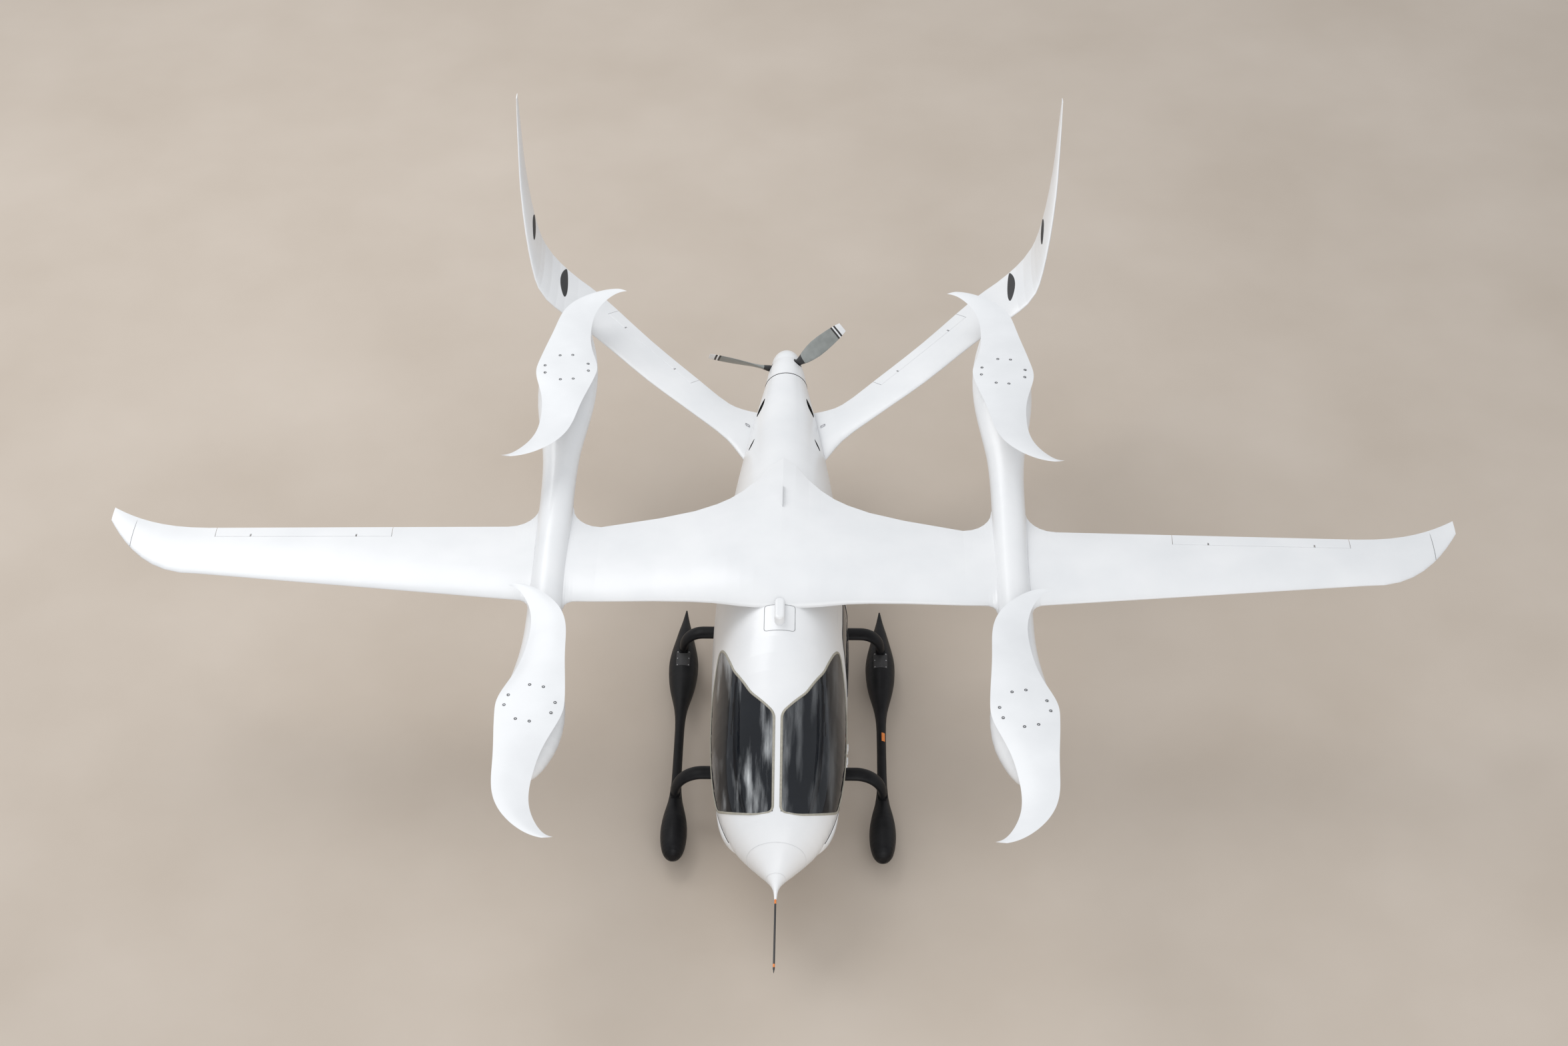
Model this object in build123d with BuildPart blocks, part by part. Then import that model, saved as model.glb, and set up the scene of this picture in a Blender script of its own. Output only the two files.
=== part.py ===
from build123d import *
import math
import os

os.makedirs("parts", exist_ok=True)

# Sizes in mm. X points to the aircraft's left, the nose to -Y, Z up, and the ground is z = 0.
boom_x = 2590
skid_x = 1170
skin = 45
glass_thickness = 14
seal_gap = 3
door_gap = 6
move_gap = 6
run_gap = 0.05
nose_seam_y = -4160
cowl_seam_y = -3930
tail_seam_y = -150
tail_end_y = 3000
motor_wall_y = 2600
bulkhead_thickness = 30
probe_tip_y = -5670
floor_z = 780
floor_thickness = 20
cant_rail_z = 2000
ceiling_z = 2290
post_half_width = 42
rotor_thickness = 60
prop_y = 3350
prop_z = 1750

# Fuselage stations: y, half width, bottom z, widest z, top z
FUSELAGE = [
    (-4700, 13, 1077, 1090, 1103),
    (-4560, 32, 1054, 1089, 1124),
    (-4430, 98, 985, 1088, 1190),
    (-4250, 240, 855, 1095, 1325),
    (-3950, 488, 715, 1125, 1545),
    (-3500, 664, 615, 1190, 1830),
    (-2900, 742, 560, 1270, 2150),
    (-2100, 760, 545, 1350, 2440),
    (-1100, 768, 570, 1420, 2565),
    (-100, 704, 690, 1530, 2530),
    (1000, 590, 980, 1640, 2350),
    (2000, 440, 1260, 1710, 2150),
    (3000, 262, 1488, 1750, 2012),
]


def smooth_rows(rows, steps):
    """Stations added between those of a table, on a smooth curve through each column."""
    made = []
    for i in range(len(rows) - 1):
        before, start, end, after = rows[max(i - 1, 0)], rows[i], rows[i + 1], rows[min(i + 2, len(rows) - 1)]
        span = end[0] - start[0]
        for t in [step / steps for step in range(steps)]:
            row = [start[0] + span * t]
            for a, b, c, d in list(zip(before, start, end, after))[1:]:
                leave = (c - a) / (end[0] - before[0]) * span
                arrive = (d - b) / (after[0] - start[0]) * span
                row.append(b + t * leave + t**2 * (3 * (c - b) - 2 * leave - arrive)
                           + t**3 * (leave + arrive - 2 * (c - b)))
            made.append(row)
    return made + [rows[-1]]


def fuselage_loft(inset, first, last):
    """Fuselage surface at a given depth below the skin, between two rows of the table."""
    with BuildPart() as hull:
        for y, half_width, bottom, middle, top in smooth_rows(FUSELAGE, 4)[4 * first:4 * last - 3]:
            with BuildSketch(Plane(origin=(0, y, middle), x_dir=(1, 0, 0), z_dir=(0, -1, 0))):
                with BuildLine():
                    EllipticalCenterArc((0, 0), half_width - inset, top - inset - middle, arc_size=180)
                    EllipticalCenterArc(
                        (0, 0), half_width - inset, middle - bottom - inset, start_angle=180, arc_size=180)
                make_face()
        loft(ruled=True)
    return hull.part


def block(x0, x1, y0, y1, z0, z1, radius=0):
    """Box between six coordinates, with its upright edges rounded."""
    with BuildPart() as box:
        with BuildSketch(Plane.XY.offset(z0)):
            with Locations(((x0 + x1) / 2, (y0 + y1) / 2)):
                if radius:
                    RectangleRounded(x1 - x0, y1 - y0, radius)
                else:
                    Rectangle(x1 - x0, y1 - y0)
        extrude(amount=z1 - z0)
    return box.part


def side_prism(points, x0, x1, radius, inset=0):
    """Prism along X from a rounded outline in the side view."""
    with BuildPart() as prism:
        with BuildSketch(Plane.YZ.offset(x0)):
            with BuildLine():
                Polyline(*points, close=True)
            make_face()
            fillet(vertices(), radius)
            if inset:
                offset(amount=-inset, kind=Kind.INTERSECTION, mode=Mode.REPLACE)
        extrude(amount=x1 - x0)
    return prism.part


def airfoil_section(plane, chord, upper, lower, edge=5):
    """Wing section: half ellipse nose, arcs back to a blunt trailing edge."""
    peak = 0.36 * chord
    with BuildSketch(plane) as section:
        with BuildLine():
            EllipticalCenterArc((peak, 0), peak, upper, start_angle=90, arc_size=90)
            EllipticalCenterArc((peak, 0), peak, lower, start_angle=180, arc_size=90)
            TangentArc((peak, -lower), (chord, -edge / 2), tangent=(1, 0))
            Line((chord, -edge / 2), (chord, edge / 2))
            TangentArc((peak, upper), (chord, edge / 2), tangent=(1, 0))
        make_face()
    return section.sketch


# Fuselage, split where the real panels meet
outer = fuselage_loft(0, 0, len(FUSELAGE))
inner = fuselage_loft(skin, 3, 11)
pane_inner = fuselage_loft(glass_thickness, 3, 10)

with BuildPart() as cavity:
    add(inner)
    add(block(-900, 900, cowl_seam_y, tail_seam_y, floor_z, ceiling_z), mode=Mode.INTERSECT)

# Windscreen pane outline: plan view from the post outward, and side view down to the sill
PANE_PLAN = [
    (post_half_width, -4000), (post_half_width, -2960), (300, -2700), (490, -2350),
    (605, -1970), (650, -1860), (1000, -1860), (1000, -4000),
]
PANE_SIDE = [
    (-3895, 1530), (-3560, 1190), (-3000, 1270), (-2400, 1480), (-1860, 1900), (-1860, 2900), (-3895, 2900),
]


def pane_zone(inset):
    """Volume that a left windscreen pane fills, drawn in plan and in side view."""
    with BuildPart() as zone:
        with BuildSketch(Plane.XY.offset(1000)):
            with BuildLine():
                Polyline(*PANE_PLAN, close=True)
            make_face()
            fillet(vertices(), 60)
            if inset:
                offset(amount=-inset, kind=Kind.INTERSECTION, mode=Mode.REPLACE)
        extrude(amount=1600)
        add(side_prism(PANE_SIDE, 0, 1200, 60, inset), mode=Mode.INTERSECT)
    return zone.part


pane_cut = pane_zone(0)
pane_fill = pane_zone(seal_gap)

# Cabin door on the left side, hinged on its front edge
door_front_y = -2650
door_rear_y = -760
DOOR_SIDE = [
    (door_front_y, 900), (door_rear_y, 900), (door_rear_y, 2040), (-1500, 2030), (-1900, 1760), (-2350, 1400),
    (door_front_y, 1300),
]
DOOR_WINDOW = [(-2080, 1420), (-900, 1420), (-900, 1890), (-1560, 1880), (-1880, 1640)]
door_cut = side_prism(DOOR_SIDE, 300, 1000, 50)
door_fill = side_prism(DOOR_SIDE, 300, 1000, 50, door_gap)
window_cut = side_prism(DOOR_WINDOW, 300, 1000, 90)
window_fill = side_prism(DOOR_WINDOW, 300, 1000, 90, seal_gap)

# Hinge posts on the front edge of the door
hinge_x = 764
hinge_y = door_front_y - 2
hinge_pin_radius = 6
hinge_knuckle_radius = 9
HINGES = [1010, 1225]

# Wing sections: x, leading edge y and z, trailing edge y and z, thickness above, thickness below
boom_half_width = 193
front_fillet = 120
rear_fillet = 335
wing_kink_x = 6500
half_span = 7620
CENTRE_WING = [
    (0, -1700, 2470, 960, 2372, 205, 60),
    (150, -1698, 2470, 800, 2383, 200, 60),
    (300, -1690, 2470, 520, 2405, 190, 62),
    (450, -1675, 2471, 300, 2432, 176, 66),
    (600, -1652, 2472, 130, 2456, 160, 70),
    (750, -1630, 2472, 15, 2467, 145, 72),
    (1000, -1612, 2469, -110, 2467, 124, 70),
    (1400, -1604, 2463, -235, 2462, 104, 64),
]
WING_AT_BOOM = (-1610, 2452, -385, 2452, 86, 56)
WING_AT_KINK = (-1310, 2532, -552, 2532, 50, 34)
WING_AT_TIP = (-480, 2568, -262, 2568, 10, 8)
FILLET_STEPS = [1, 0.7, 0.46, 0.28, 0.14, 0.05, 0]
TIP_STEPS = [0, 0.18, 0.34, 0.48, 0.6, 0.71, 0.8, 0.88, 0.95, 1]


def flare(distance, radius):
    """Height of a fillet arc at a distance from the wall that it runs into."""
    return radius - math.sqrt(radius**2 - (radius - distance) ** 2) if distance < radius else 0


def blend(start, end, part):
    """Row of values part of the way from one row to another."""
    return [a + (b - a) * part for a, b in zip(start, end)]


def fillet_rows(side, base):
    """Sections that flare out into the boom on one side of it."""
    rows = []
    for step in FILLET_STEPS:
        away = step * rear_fillet
        lead, lead_z, trail, trail_z, upper, lower = base(away)
        rows.append((boom_x + side * (boom_half_width + away), lead - flare(away, front_fillet), lead_z,
                     trail + flare(away, rear_fillet), trail_z, upper, lower))
    return rows


outer_start_x = boom_x + boom_half_width
outer_length = wing_kink_x - outer_start_x
centre_rows = CENTRE_WING + fillet_rows(-1, lambda away: WING_AT_BOOM)
outer_rows = fillet_rows(1, lambda away: blend(WING_AT_BOOM, WING_AT_KINK, away / outer_length))[::-1]
outer_rows += [
    (wing_kink_x + (half_span - wing_kink_x) * step, *blend(WING_AT_KINK, WING_AT_TIP, step**2.4))
    for step in TIP_STEPS
]
centre_rows.append((boom_x, *centre_rows[-1][1:]))
outer_rows.insert(0, (boom_x, *outer_rows[0][1:]))


def wing_loft(rows):
    """Half wing from a table of sections, straight between them."""
    with BuildPart() as panel:
        for x, lead, lead_z, trail, trail_z, upper, lower in rows:
            face = Plane(origin=(x, lead, lead_z), x_dir=(0, trail - lead, trail_z - lead_z), z_dir=(1, 0, 0))
            add(airfoil_section(face, math.hypot(trail - lead, trail_z - lead_z), upper, lower))
        loft(ruled=True)
    return panel.part


centre_half = wing_loft(centre_rows)
outer_full = wing_loft(outer_rows)

# Boom with its two motor nacelles: y, half width, centre z, half height
BOOM = [
    (-4330, 22, 2478, 20),
    (-4230, 124, 2478, 88),
    (-4060, 220, 2479, 145),
    (-3800, 312, 2481, 190),
    (-3490, 350, 2482, 208),
    (-3180, 332, 2478, 205),
    (-2860, 278, 2471, 197),
    (-2540, 226, 2464, 188),
    (-2250, 200, 2460, 182),
    (-1950, boom_half_width, 2460, 180),
    (-1500, boom_half_width, 2464, 180),
    (-1000, boom_half_width, 2472, 180),
    (-500, boom_half_width, 2486, 180),
    (0, boom_half_width, 2512, 180),
    (400, 198, 2550, 180),
    (750, 222, 2600, 184),
    (1100, 278, 2656, 194),
    (1450, 330, 2704, 204),
    (1810, 350, 2726, 208),
    (2150, 335, 2730, 200),
    (2500, 288, 2708, 178),
    (2850, 218, 2664, 146),
    (3200, 145, 2604, 105),
    (3500, 88, 2542, 68),
    (3760, 35, 2490, 32),
]
with BuildPart() as boom_body:
    for y, half_width, z, half_height in smooth_rows(BOOM, 2):
        with BuildSketch(Plane(origin=(boom_x, y, z), x_dir=(1, 0, 0), z_dir=(0, -1, 0))):
            Ellipse(half_width, half_height)
    loft(ruled=True)

# Tail panel turning up into its fin: x, leading edge y, z, chord, thickness each side, lean of the section in degrees
TAIL = [
    (180, 1230, 1685, 1350, 62, 16),
    (450, 1545, 1765, 1000, 54, 17),
    (700, 1900, 1845, 690, 46, 17),
    (1100, 2215, 1970, 700, 40, 17),
    (1700, 2655, 2155, 785, 40, 17),
    (2360, 3225, 2360, 870, 41, 18),
    (2800, 3520, 2520, 900, 40, 26),
    (3090, 3670, 2780, 950, 38, 58),
    (3220, 4000, 3100, 800, 34, 78),
    (3340, 4580, 3600, 590, 26, 83),
    (3400, 5140, 4050, 340, 15, 84),
    (3435, 5540, 4345, 130, 6, 84),
]
with BuildPart() as tail_body:
    for x, lead, z, chord, half_thickness, lean in smooth_rows(TAIL, 3):
        lean_rad = math.radians(lean)
        face = Plane(origin=(x, lead, z), x_dir=(0, 1, 0), z_dir=(math.cos(lean_rad), 0, math.sin(lean_rad)))
        add(airfoil_section(face, chord, half_thickness, half_thickness))
    loft(ruled=True)

# Control surfaces: hinge start, hinge end, up direction of the panel, nose radius, hinge places along the span
AILERON = ((4420, -628, 2487), (6400, -694, 2532), (-0.0227, 0, 1), 40, (0.2, 0.8))
RUDDERVATOR = ((1180, 2780, 1995), (2240, 3735, 2323), (-0.2966, 0, 0.955), 30, (0.2, 0.8))
tongue_thickness = 8
tongue_radius = 9
tongue_pin_radius = 4
tongue_pin_reach = 14


def hinge_plane(surface):
    """Plane at the hinge start with X along the hinge and Z out of the panel."""
    start, end, up, nose, places = surface
    along = Vector(*end) - Vector(*start)
    square_up = Vector(*up) - along * (Vector(*up).dot(along) / along.length**2)
    return Plane(origin=start, x_dir=along, z_dir=square_up), along.length


def flap_zone(surface, gap):
    """Round-nosed volume behind a hinge line, grown by a gap."""
    plane, length = hinge_plane(surface)
    nose = surface[3]
    across = Plane(origin=plane.from_local_coords((-gap, 0, 0)), x_dir=plane.y_dir, z_dir=plane.x_dir)
    with BuildPart() as zone:
        with BuildSketch(across):
            Circle(nose + gap)
            with Locations((250, 0)):
                Rectangle(500, 300)
        extrude(amount=length + 2 * gap)
    return zone.part


def flap_fittings(surface):
    """Hinge tongues with their pins, the slots around them and the pin holes."""
    plane, length = hinge_plane(surface)
    nose = surface[3]
    reach = nose + move_gap + 30
    made = []
    for kind in ("tongue", "slot", "hole"):
        with BuildPart() as fitting:
            for place in surface[4]:
                width = tongue_thickness if kind == "tongue" else tongue_thickness + 2 * move_gap
                pin = tongue_thickness + 2 * tongue_pin_reach + (0 if kind == "tongue" else 2)
                if kind != "hole":
                    face = Plane(
                        origin=plane.from_local_coords((place * length - width / 2, 0, 0)),
                        x_dir=plane.y_dir, z_dir=plane.x_dir)
                    with BuildSketch(face):
                        if kind == "tongue":
                            Circle(tongue_radius)
                            with Locations((-reach / 2, 0)):
                                Rectangle(reach, 2 * tongue_radius)
                        else:
                            with Locations((-nose / 2 - 10 + tongue_radius + move_gap, 0)):
                                Rectangle(nose + 20 + tongue_radius + move_gap, 200)
                    extrude(amount=width)
                if kind != "slot":
                    face = Plane(
                        origin=plane.from_local_coords((place * length - pin / 2, 0, 0)),
                        x_dir=plane.y_dir, z_dir=plane.x_dir)
                    with BuildSketch(face):
                        Circle(tongue_pin_radius + (0 if kind == "tongue" else run_gap))
                    extrude(amount=pin)
        made.append(fitting.part)
    return made


aileron_tongues, aileron_slots, aileron_holes = flap_fittings(AILERON)
ruddervator_tongues, ruddervator_slots, ruddervator_holes = flap_fittings(RUDDERVATOR)

# Lift rotor: distance from the hub, edge x on the leading side, edge x on the trailing side, thickness, pitch in degrees
ROTOR = [
    (0, -368, 368, 60, 0),
    (250, -402, 282, 58, 2),
    (580, -440, 83, 50, 6),
    (950, -495, -70, 42, 8),
    (1270, -503, -147, 34, 8),
    (1500, -432, -148, 26, 7),
    (1700, -300, -100, 18, 6),
    (1860, -84, 34, 10, 5),
]
# Where each rotor stands: side, hub y, hub z, backward lean, parked yaw of the tip line
ROTORS = {
    "front": (-3490, 2750, 0, 11),
    "rear": (1810, 2998, 5, 18),
}
hub_shaft_radius = 60
hub_shaft_length = 150
bolt_ring = 255
bolt_pair = 75
bolt_hole_radius = 13
bolt_hole_depth = 14

with BuildPart() as rotor_blank:
    for side in (-1, 1):
        rows = ROTOR[:0:-1] if side < 0 else ROTOR
        for out, lead, trail, thickness, pitch in rows:
            centre = side * (lead + trail) / 2
            half = (trail - lead) / 2
            lift = math.radians(side * pitch)
            face = Plane(origin=(centre, -side * out, 0), x_dir=(math.cos(lift), 0, -math.sin(lift)),
                         z_dir=(0, -1, 0))
            with BuildSketch(face):
                with BuildLine():
                    ThreePointArc((-half, 0), (0, thickness / 2), (half, 0))
                    ThreePointArc((half, 0), (0, -thickness / 2), (-half, 0))
                make_face()
    loft()

with BuildPart() as rotor_blade:
    add(rotor_blank.part)
    for quarter in range(4):
        with BuildSketch(Plane.XY.offset(rotor_thickness)):
            with PolarLocations(0, 1, start_angle=67 + 90 * quarter):
                with Locations((bolt_ring, -bolt_pair), (bolt_ring, bolt_pair)):
                    Circle(bolt_hole_radius)
        extrude(amount=-(rotor_thickness / 2 + bolt_hole_depth), mode=Mode.SUBTRACT)
    with BuildSketch(Plane.XY.offset(-rotor_thickness)):
        Circle(hub_shaft_radius)
    extrude(amount=rotor_thickness, mode=Mode.SUBTRACT)

with BuildPart() as rotor_hub:
    with BuildSketch(Plane.XY):
        Circle(hub_shaft_radius)
    extrude(amount=-hub_shaft_length)

with BuildPart() as rotor_well:
    with BuildSketch(Plane.XY.offset(move_gap)):
        Circle(hub_shaft_radius + run_gap)
    extrude(amount=-(hub_shaft_length + 2 * move_gap))


def rotor_place(end, side):
    """Plane of a rotor hub, with the parked yaw, for one end of a boom."""
    y, z, lean, yaw = ROTORS[end]
    lean_rad = math.radians(lean)
    hand = 1 if (end == "front") == (side < 0) else -1
    turn = math.radians(hand * yaw)
    tip_line = (math.cos(turn), math.sin(turn) * math.cos(lean_rad), -math.sin(turn) * math.sin(lean_rad))
    shaft = (0, math.sin(lean_rad), math.cos(lean_rad))
    return Plane(origin=(side * boom_x, y, z), x_dir=tip_line, z_dir=shaft), hand


# Gear: skids with wheel pods, struts, axles and wheels
SKID = [
    (-3430, 42, 222, 318),
    (-3395, 88, 168, 372),
    (-3320, 122, 124, 412),
    (-3200, 143, 99, 434),
    (-3060, 150, 93, 441),
    (-2920, 140, 104, 437),
    (-2780, 116, 138, 421),
    (-2640, 84, 194, 403),
    (-2480, 64, 238, 392),
    (-2300, 56, 256, 387),
    (-2000, 54, 260, 385),
    (-1650, 54, 260, 385),
    (-1400, 58, 250, 388),
    (-1200, 76, 222, 398),
    (-1040, 104, 182, 414),
    (-880, 136, 142, 434),
    (-720, 160, 110, 452),
    (-560, 172, 94, 464),
    (-400, 172, 90, 467),
    (-250, 154, 104, 456),
    (-90, 122, 140, 434),
    (90, 84, 196, 406),
    (280, 42, 256, 362),
    (470, 9, 302, 328),
]
# Wheel: y, tyre radius, tyre half width, rim radius
WHEELS = {"front": (-3080, 180, 55, 92), "rear": (-480, 200, 68, 105)}
axle_radius = 15
well_side_gap = 20
well_round_gap = 22
# Strut: y, root x at the belly pad, root z, foot z on the skid pad
STRUTS = [(-2560, 565, 725, 408), (-310, 410, 720, 478)]
strut_half_width = 90
strut_half_height = 50
pad_margin = 6

with BuildPart() as skid_body:
    for y, half_width, low, high in smooth_rows(SKID, 2):
        with BuildSketch(Plane(origin=(skid_x, y, (low + high) / 2), x_dir=(1, 0, 0), z_dir=(0, -1, 0))):
            Ellipse(half_width, (high - low) / 2)
    loft(ruled=True)

with BuildPart() as skid_cut:
    for y, tyre_radius, tyre_half, rim_radius in WHEELS.values():
        half = tyre_half + well_side_gap
        with BuildSketch(Plane(origin=(skid_x - half, y, tyre_radius), x_dir=(0, 1, 0), z_dir=(1, 0, 0))):
            Circle(tyre_radius + well_round_gap)
            with Locations((0, -tyre_radius / 2)):
                Rectangle(2 * (tyre_radius + well_round_gap), tyre_radius)
        extrude(amount=2 * half)

with BuildPart() as axles_left:
    for y, tyre_radius, tyre_half, rim_radius in WHEELS.values():
        with BuildSketch(Plane(origin=(skid_x - 120, y, tyre_radius), x_dir=(0, 1, 0), z_dir=(1, 0, 0))):
            Circle(axle_radius)
        extrude(amount=240)

with BuildPart() as skid_left:
    add(skid_body.part)
    for y, root_x, root_z, foot_z in STRUTS:
        across = strut_half_height + pad_margin
        along = strut_half_width + pad_margin
        add(block(skid_x - across, skid_x + across, y - along, y + along, 300, foot_z, 40))
    add(skid_cut.part, mode=Mode.SUBTRACT)
    add(axles_left.part, mode=Mode.SUBTRACT)

with BuildPart() as struts_left:
    for y, root_x, root_z, foot_z in STRUTS:
        bend_x = skid_x - (root_z - foot_z)
        with BuildSketch(Plane(origin=(root_x, y, root_z), x_dir=(0, 1, 0), z_dir=(1, 0, 0))):
            Ellipse(strut_half_width, strut_half_height)
        extrude(amount=bend_x - root_x)
        with BuildSketch(Plane(origin=(bend_x, y, root_z), x_dir=(0, 1, 0), z_dir=(1, 0, 0))):
            Ellipse(strut_half_width, strut_half_height)
        revolve(axis=Axis((bend_x, y, foot_z), (0, 1, 0)), revolution_arc=90)

# Pusher propeller and its spinner: radius, half chord, half thickness, pitch in degrees
PROP = [
    (90, 44, 44, 58),
    (230, 48, 40, 58),
    (330, 82, 24, 52),
    (520, 108, 15, 41),
    (760, 98, 10, 32),
    (930, 78, 7, 27),
    (1000, 62, 4, 26),
]
PROP_ANGLES = [46, 166, 286]
prop_hub_radius = 112
prop_hub_half_length = 78
prop_shaft_radius = 40
spinner_gap = 8
spinner_tip_y = 3700
blade_hole_radius = 66

with BuildPart() as prop_blades:
    with BuildSketch(Plane(origin=(0, prop_y - prop_hub_half_length, prop_z), x_dir=(1, 0, 0), z_dir=(0, 1, 0))):
        Circle(prop_hub_radius)
    extrude(amount=2 * prop_hub_half_length)
    with BuildSketch(Plane(origin=(0, tail_end_y - 150, prop_z), x_dir=(1, 0, 0), z_dir=(0, 1, 0))):
        Circle(prop_shaft_radius)
    extrude(amount=prop_y - tail_end_y + 100)
    for angle in PROP_ANGLES:
        turn = math.radians(angle)
        out = Vector(math.cos(turn), 0, math.sin(turn))
        around = Vector(-math.sin(turn), 0, math.cos(turn))
        for radius, half_chord, half_thickness, pitch in smooth_rows(PROP, 2):
            twist = math.radians(pitch)
            with BuildSketch(Plane(
                    origin=Vector(0, prop_y, prop_z) + out * radius,
                    x_dir=around * math.cos(twist) + Vector(0, 1, 0) * math.sin(twist), z_dir=out)):
                Ellipse(half_chord, half_thickness)
        loft(ruled=True)

with BuildPart() as prop_spinner:
    with BuildSketch(Plane(origin=(0, 0, prop_z), x_dir=(0, 1, 0), z_dir=(1, 0, 0))):
        with BuildLine():
            start = (tail_end_y + spinner_gap, 0)
            rim = (tail_end_y + spinner_gap, 258)
            Line(start, rim)
            TangentArc(rim, (3420, 190), tangent=(1, -0.06))
            EllipticalCenterArc((3420, 0), spinner_tip_y - 3420, 190, arc_size=90)
            Line((spinner_tip_y, 0), start)
        make_face()
    revolve(axis=Axis((0, 0, prop_z), (0, 1, 0)))
    with BuildSketch(Plane(origin=(0, prop_y - prop_hub_half_length, prop_z), x_dir=(1, 0, 0), z_dir=(0, 1, 0))):
        Circle(prop_hub_radius)
    extrude(amount=2 * prop_hub_half_length, mode=Mode.SUBTRACT)
    with BuildSketch(Plane(origin=(0, tail_end_y - 150, prop_z), x_dir=(1, 0, 0), z_dir=(0, 1, 0))):
        Circle(prop_shaft_radius + 1)
    extrude(amount=prop_y - tail_end_y + 100, mode=Mode.SUBTRACT)
    for angle in PROP_ANGLES:
        turn = math.radians(angle)
        with BuildSketch(Plane(
                origin=(0, prop_y, prop_z), x_dir=(0, 1, 0), z_dir=(math.cos(turn), 0, math.sin(turn)))):
            Circle(blade_hole_radius)
        extrude(amount=300, mode=Mode.SUBTRACT)

# Lower fuselage with the battery bay
battery = (-400, 400, -2500, -600, 640, floor_z - 2)
with BuildPart() as wing_crossing:
    add(centre_half)
    add(mirror(centre_half, about=Plane.YZ))
roof_zone = [block(-900, 900, cowl_seam_y, tail_seam_y, cant_rail_z, 3000),
             block(-200, 200, cowl_seam_y, -3000, 1450, cant_rail_z)]

with BuildPart() as nose_cone:
    add(outer)
    add(block(-900, 900, -5000, nose_seam_y, 0, 3000), mode=Mode.INTERSECT)
    with BuildSketch(Plane(origin=(0, -4720, 1090), x_dir=(1, 0, 0), z_dir=(0, 1, 0))):
        Circle(11)
    extrude(amount=120, mode=Mode.SUBTRACT)

with BuildPart() as nose_cowl:
    add(outer)
    add(block(-900, 900, nose_seam_y, cowl_seam_y, 0, 3000), mode=Mode.INTERSECT)

with BuildPart() as fuselage_belly:
    add(outer)
    add(block(-900, 900, cowl_seam_y, tail_seam_y, 0, floor_z), mode=Mode.INTERSECT)
    for y, root_x, root_z, foot_z in STRUTS:
        for side in (-1, 1):
            ends = sorted((side * (root_x - 190), side * root_x))
            add(block(*ends, y - 96, y + 96, root_z - strut_half_height - pad_margin,
                      root_z + strut_half_height + 5))
    add(block(battery[0] - 2, battery[1] + 2, battery[2] - 2, battery[3] + 2, battery[4], floor_z + 5),
        mode=Mode.SUBTRACT)

with BuildPart() as cabin_roof:
    add(outer)
    add(roof_zone[0] + roof_zone[1], mode=Mode.INTERSECT)
    add(cavity.part, mode=Mode.SUBTRACT)
    add(pane_cut, mode=Mode.SUBTRACT)
    add(mirror(pane_cut, about=Plane.YZ), mode=Mode.SUBTRACT)
    add(door_cut, mode=Mode.SUBTRACT)
    add(wing_crossing.part, mode=Mode.SUBTRACT)

with BuildPart() as side_blank:
    add(outer)
    add(block(0, 900, cowl_seam_y, tail_seam_y, floor_z, cant_rail_z), mode=Mode.INTERSECT)
    add(roof_zone[1], mode=Mode.SUBTRACT)
    add(cavity.part, mode=Mode.SUBTRACT)
    add(pane_cut, mode=Mode.SUBTRACT)

with BuildPart() as cabin_side_right:
    add(mirror(side_blank.part, about=Plane.YZ))

with BuildPart() as cabin_side_left:
    add(side_blank.part)
    add(door_cut, mode=Mode.SUBTRACT)
    for z in HINGES:
        with BuildSketch(Plane.XY.offset(z - 24)):
            with Locations((hinge_x, hinge_y)):
                Circle(hinge_knuckle_radius)
            with Locations(((hinge_x + 620) / 2, hinge_y - 30)):
                Rectangle(hinge_x - 620, 42)
            with Locations((hinge_x - 10, hinge_y - 12)):
                Rectangle(20, 24)
        extrude(amount=23)
        with BuildSketch(Plane.XY.offset(z - 24)):
            with Locations((hinge_x, hinge_y)):
                Circle(hinge_pin_radius)
        extrude(amount=50)
    add(cavity.part, mode=Mode.SUBTRACT)

with BuildPart() as cabin_door:
    add(outer)
    add(door_fill, mode=Mode.INTERSECT)
    add(cavity.part, mode=Mode.SUBTRACT)
    add(window_cut, mode=Mode.SUBTRACT)
    for z in HINGES:
        with BuildSketch(Plane.XY.offset(z)):
            with Locations((hinge_x, hinge_y)):
                Circle(hinge_knuckle_radius)
            with Locations(((hinge_x + 9 + 640) / 2, hinge_y + 40)):
                Rectangle(hinge_x + 9 - 640, 40)
            with Locations((hinge_x, hinge_y + 12)):
                Rectangle(2 * hinge_knuckle_radius, 24)
        extrude(amount=22)
        with BuildSketch(Plane.XY.offset(z - 5)):
            with Locations((hinge_x, hinge_y)):
                Circle(hinge_pin_radius + run_gap)
        extrude(amount=40, mode=Mode.SUBTRACT)
    add(cavity.part, mode=Mode.SUBTRACT)

with BuildPart() as door_window:
    add(outer)
    add(window_fill, mode=Mode.INTERSECT)
    add(pane_inner, mode=Mode.SUBTRACT)

with BuildPart() as windscreen_left:
    add(outer)
    add(pane_fill, mode=Mode.INTERSECT)
    add(pane_inner, mode=Mode.SUBTRACT)

with BuildPart() as tail_bay:
    add(fuselage_loft(skin, 3, len(FUSELAGE)))
    add(block(-900, 900, tail_seam_y - 10, motor_wall_y, 0, ceiling_z), mode=Mode.INTERSECT)

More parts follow.
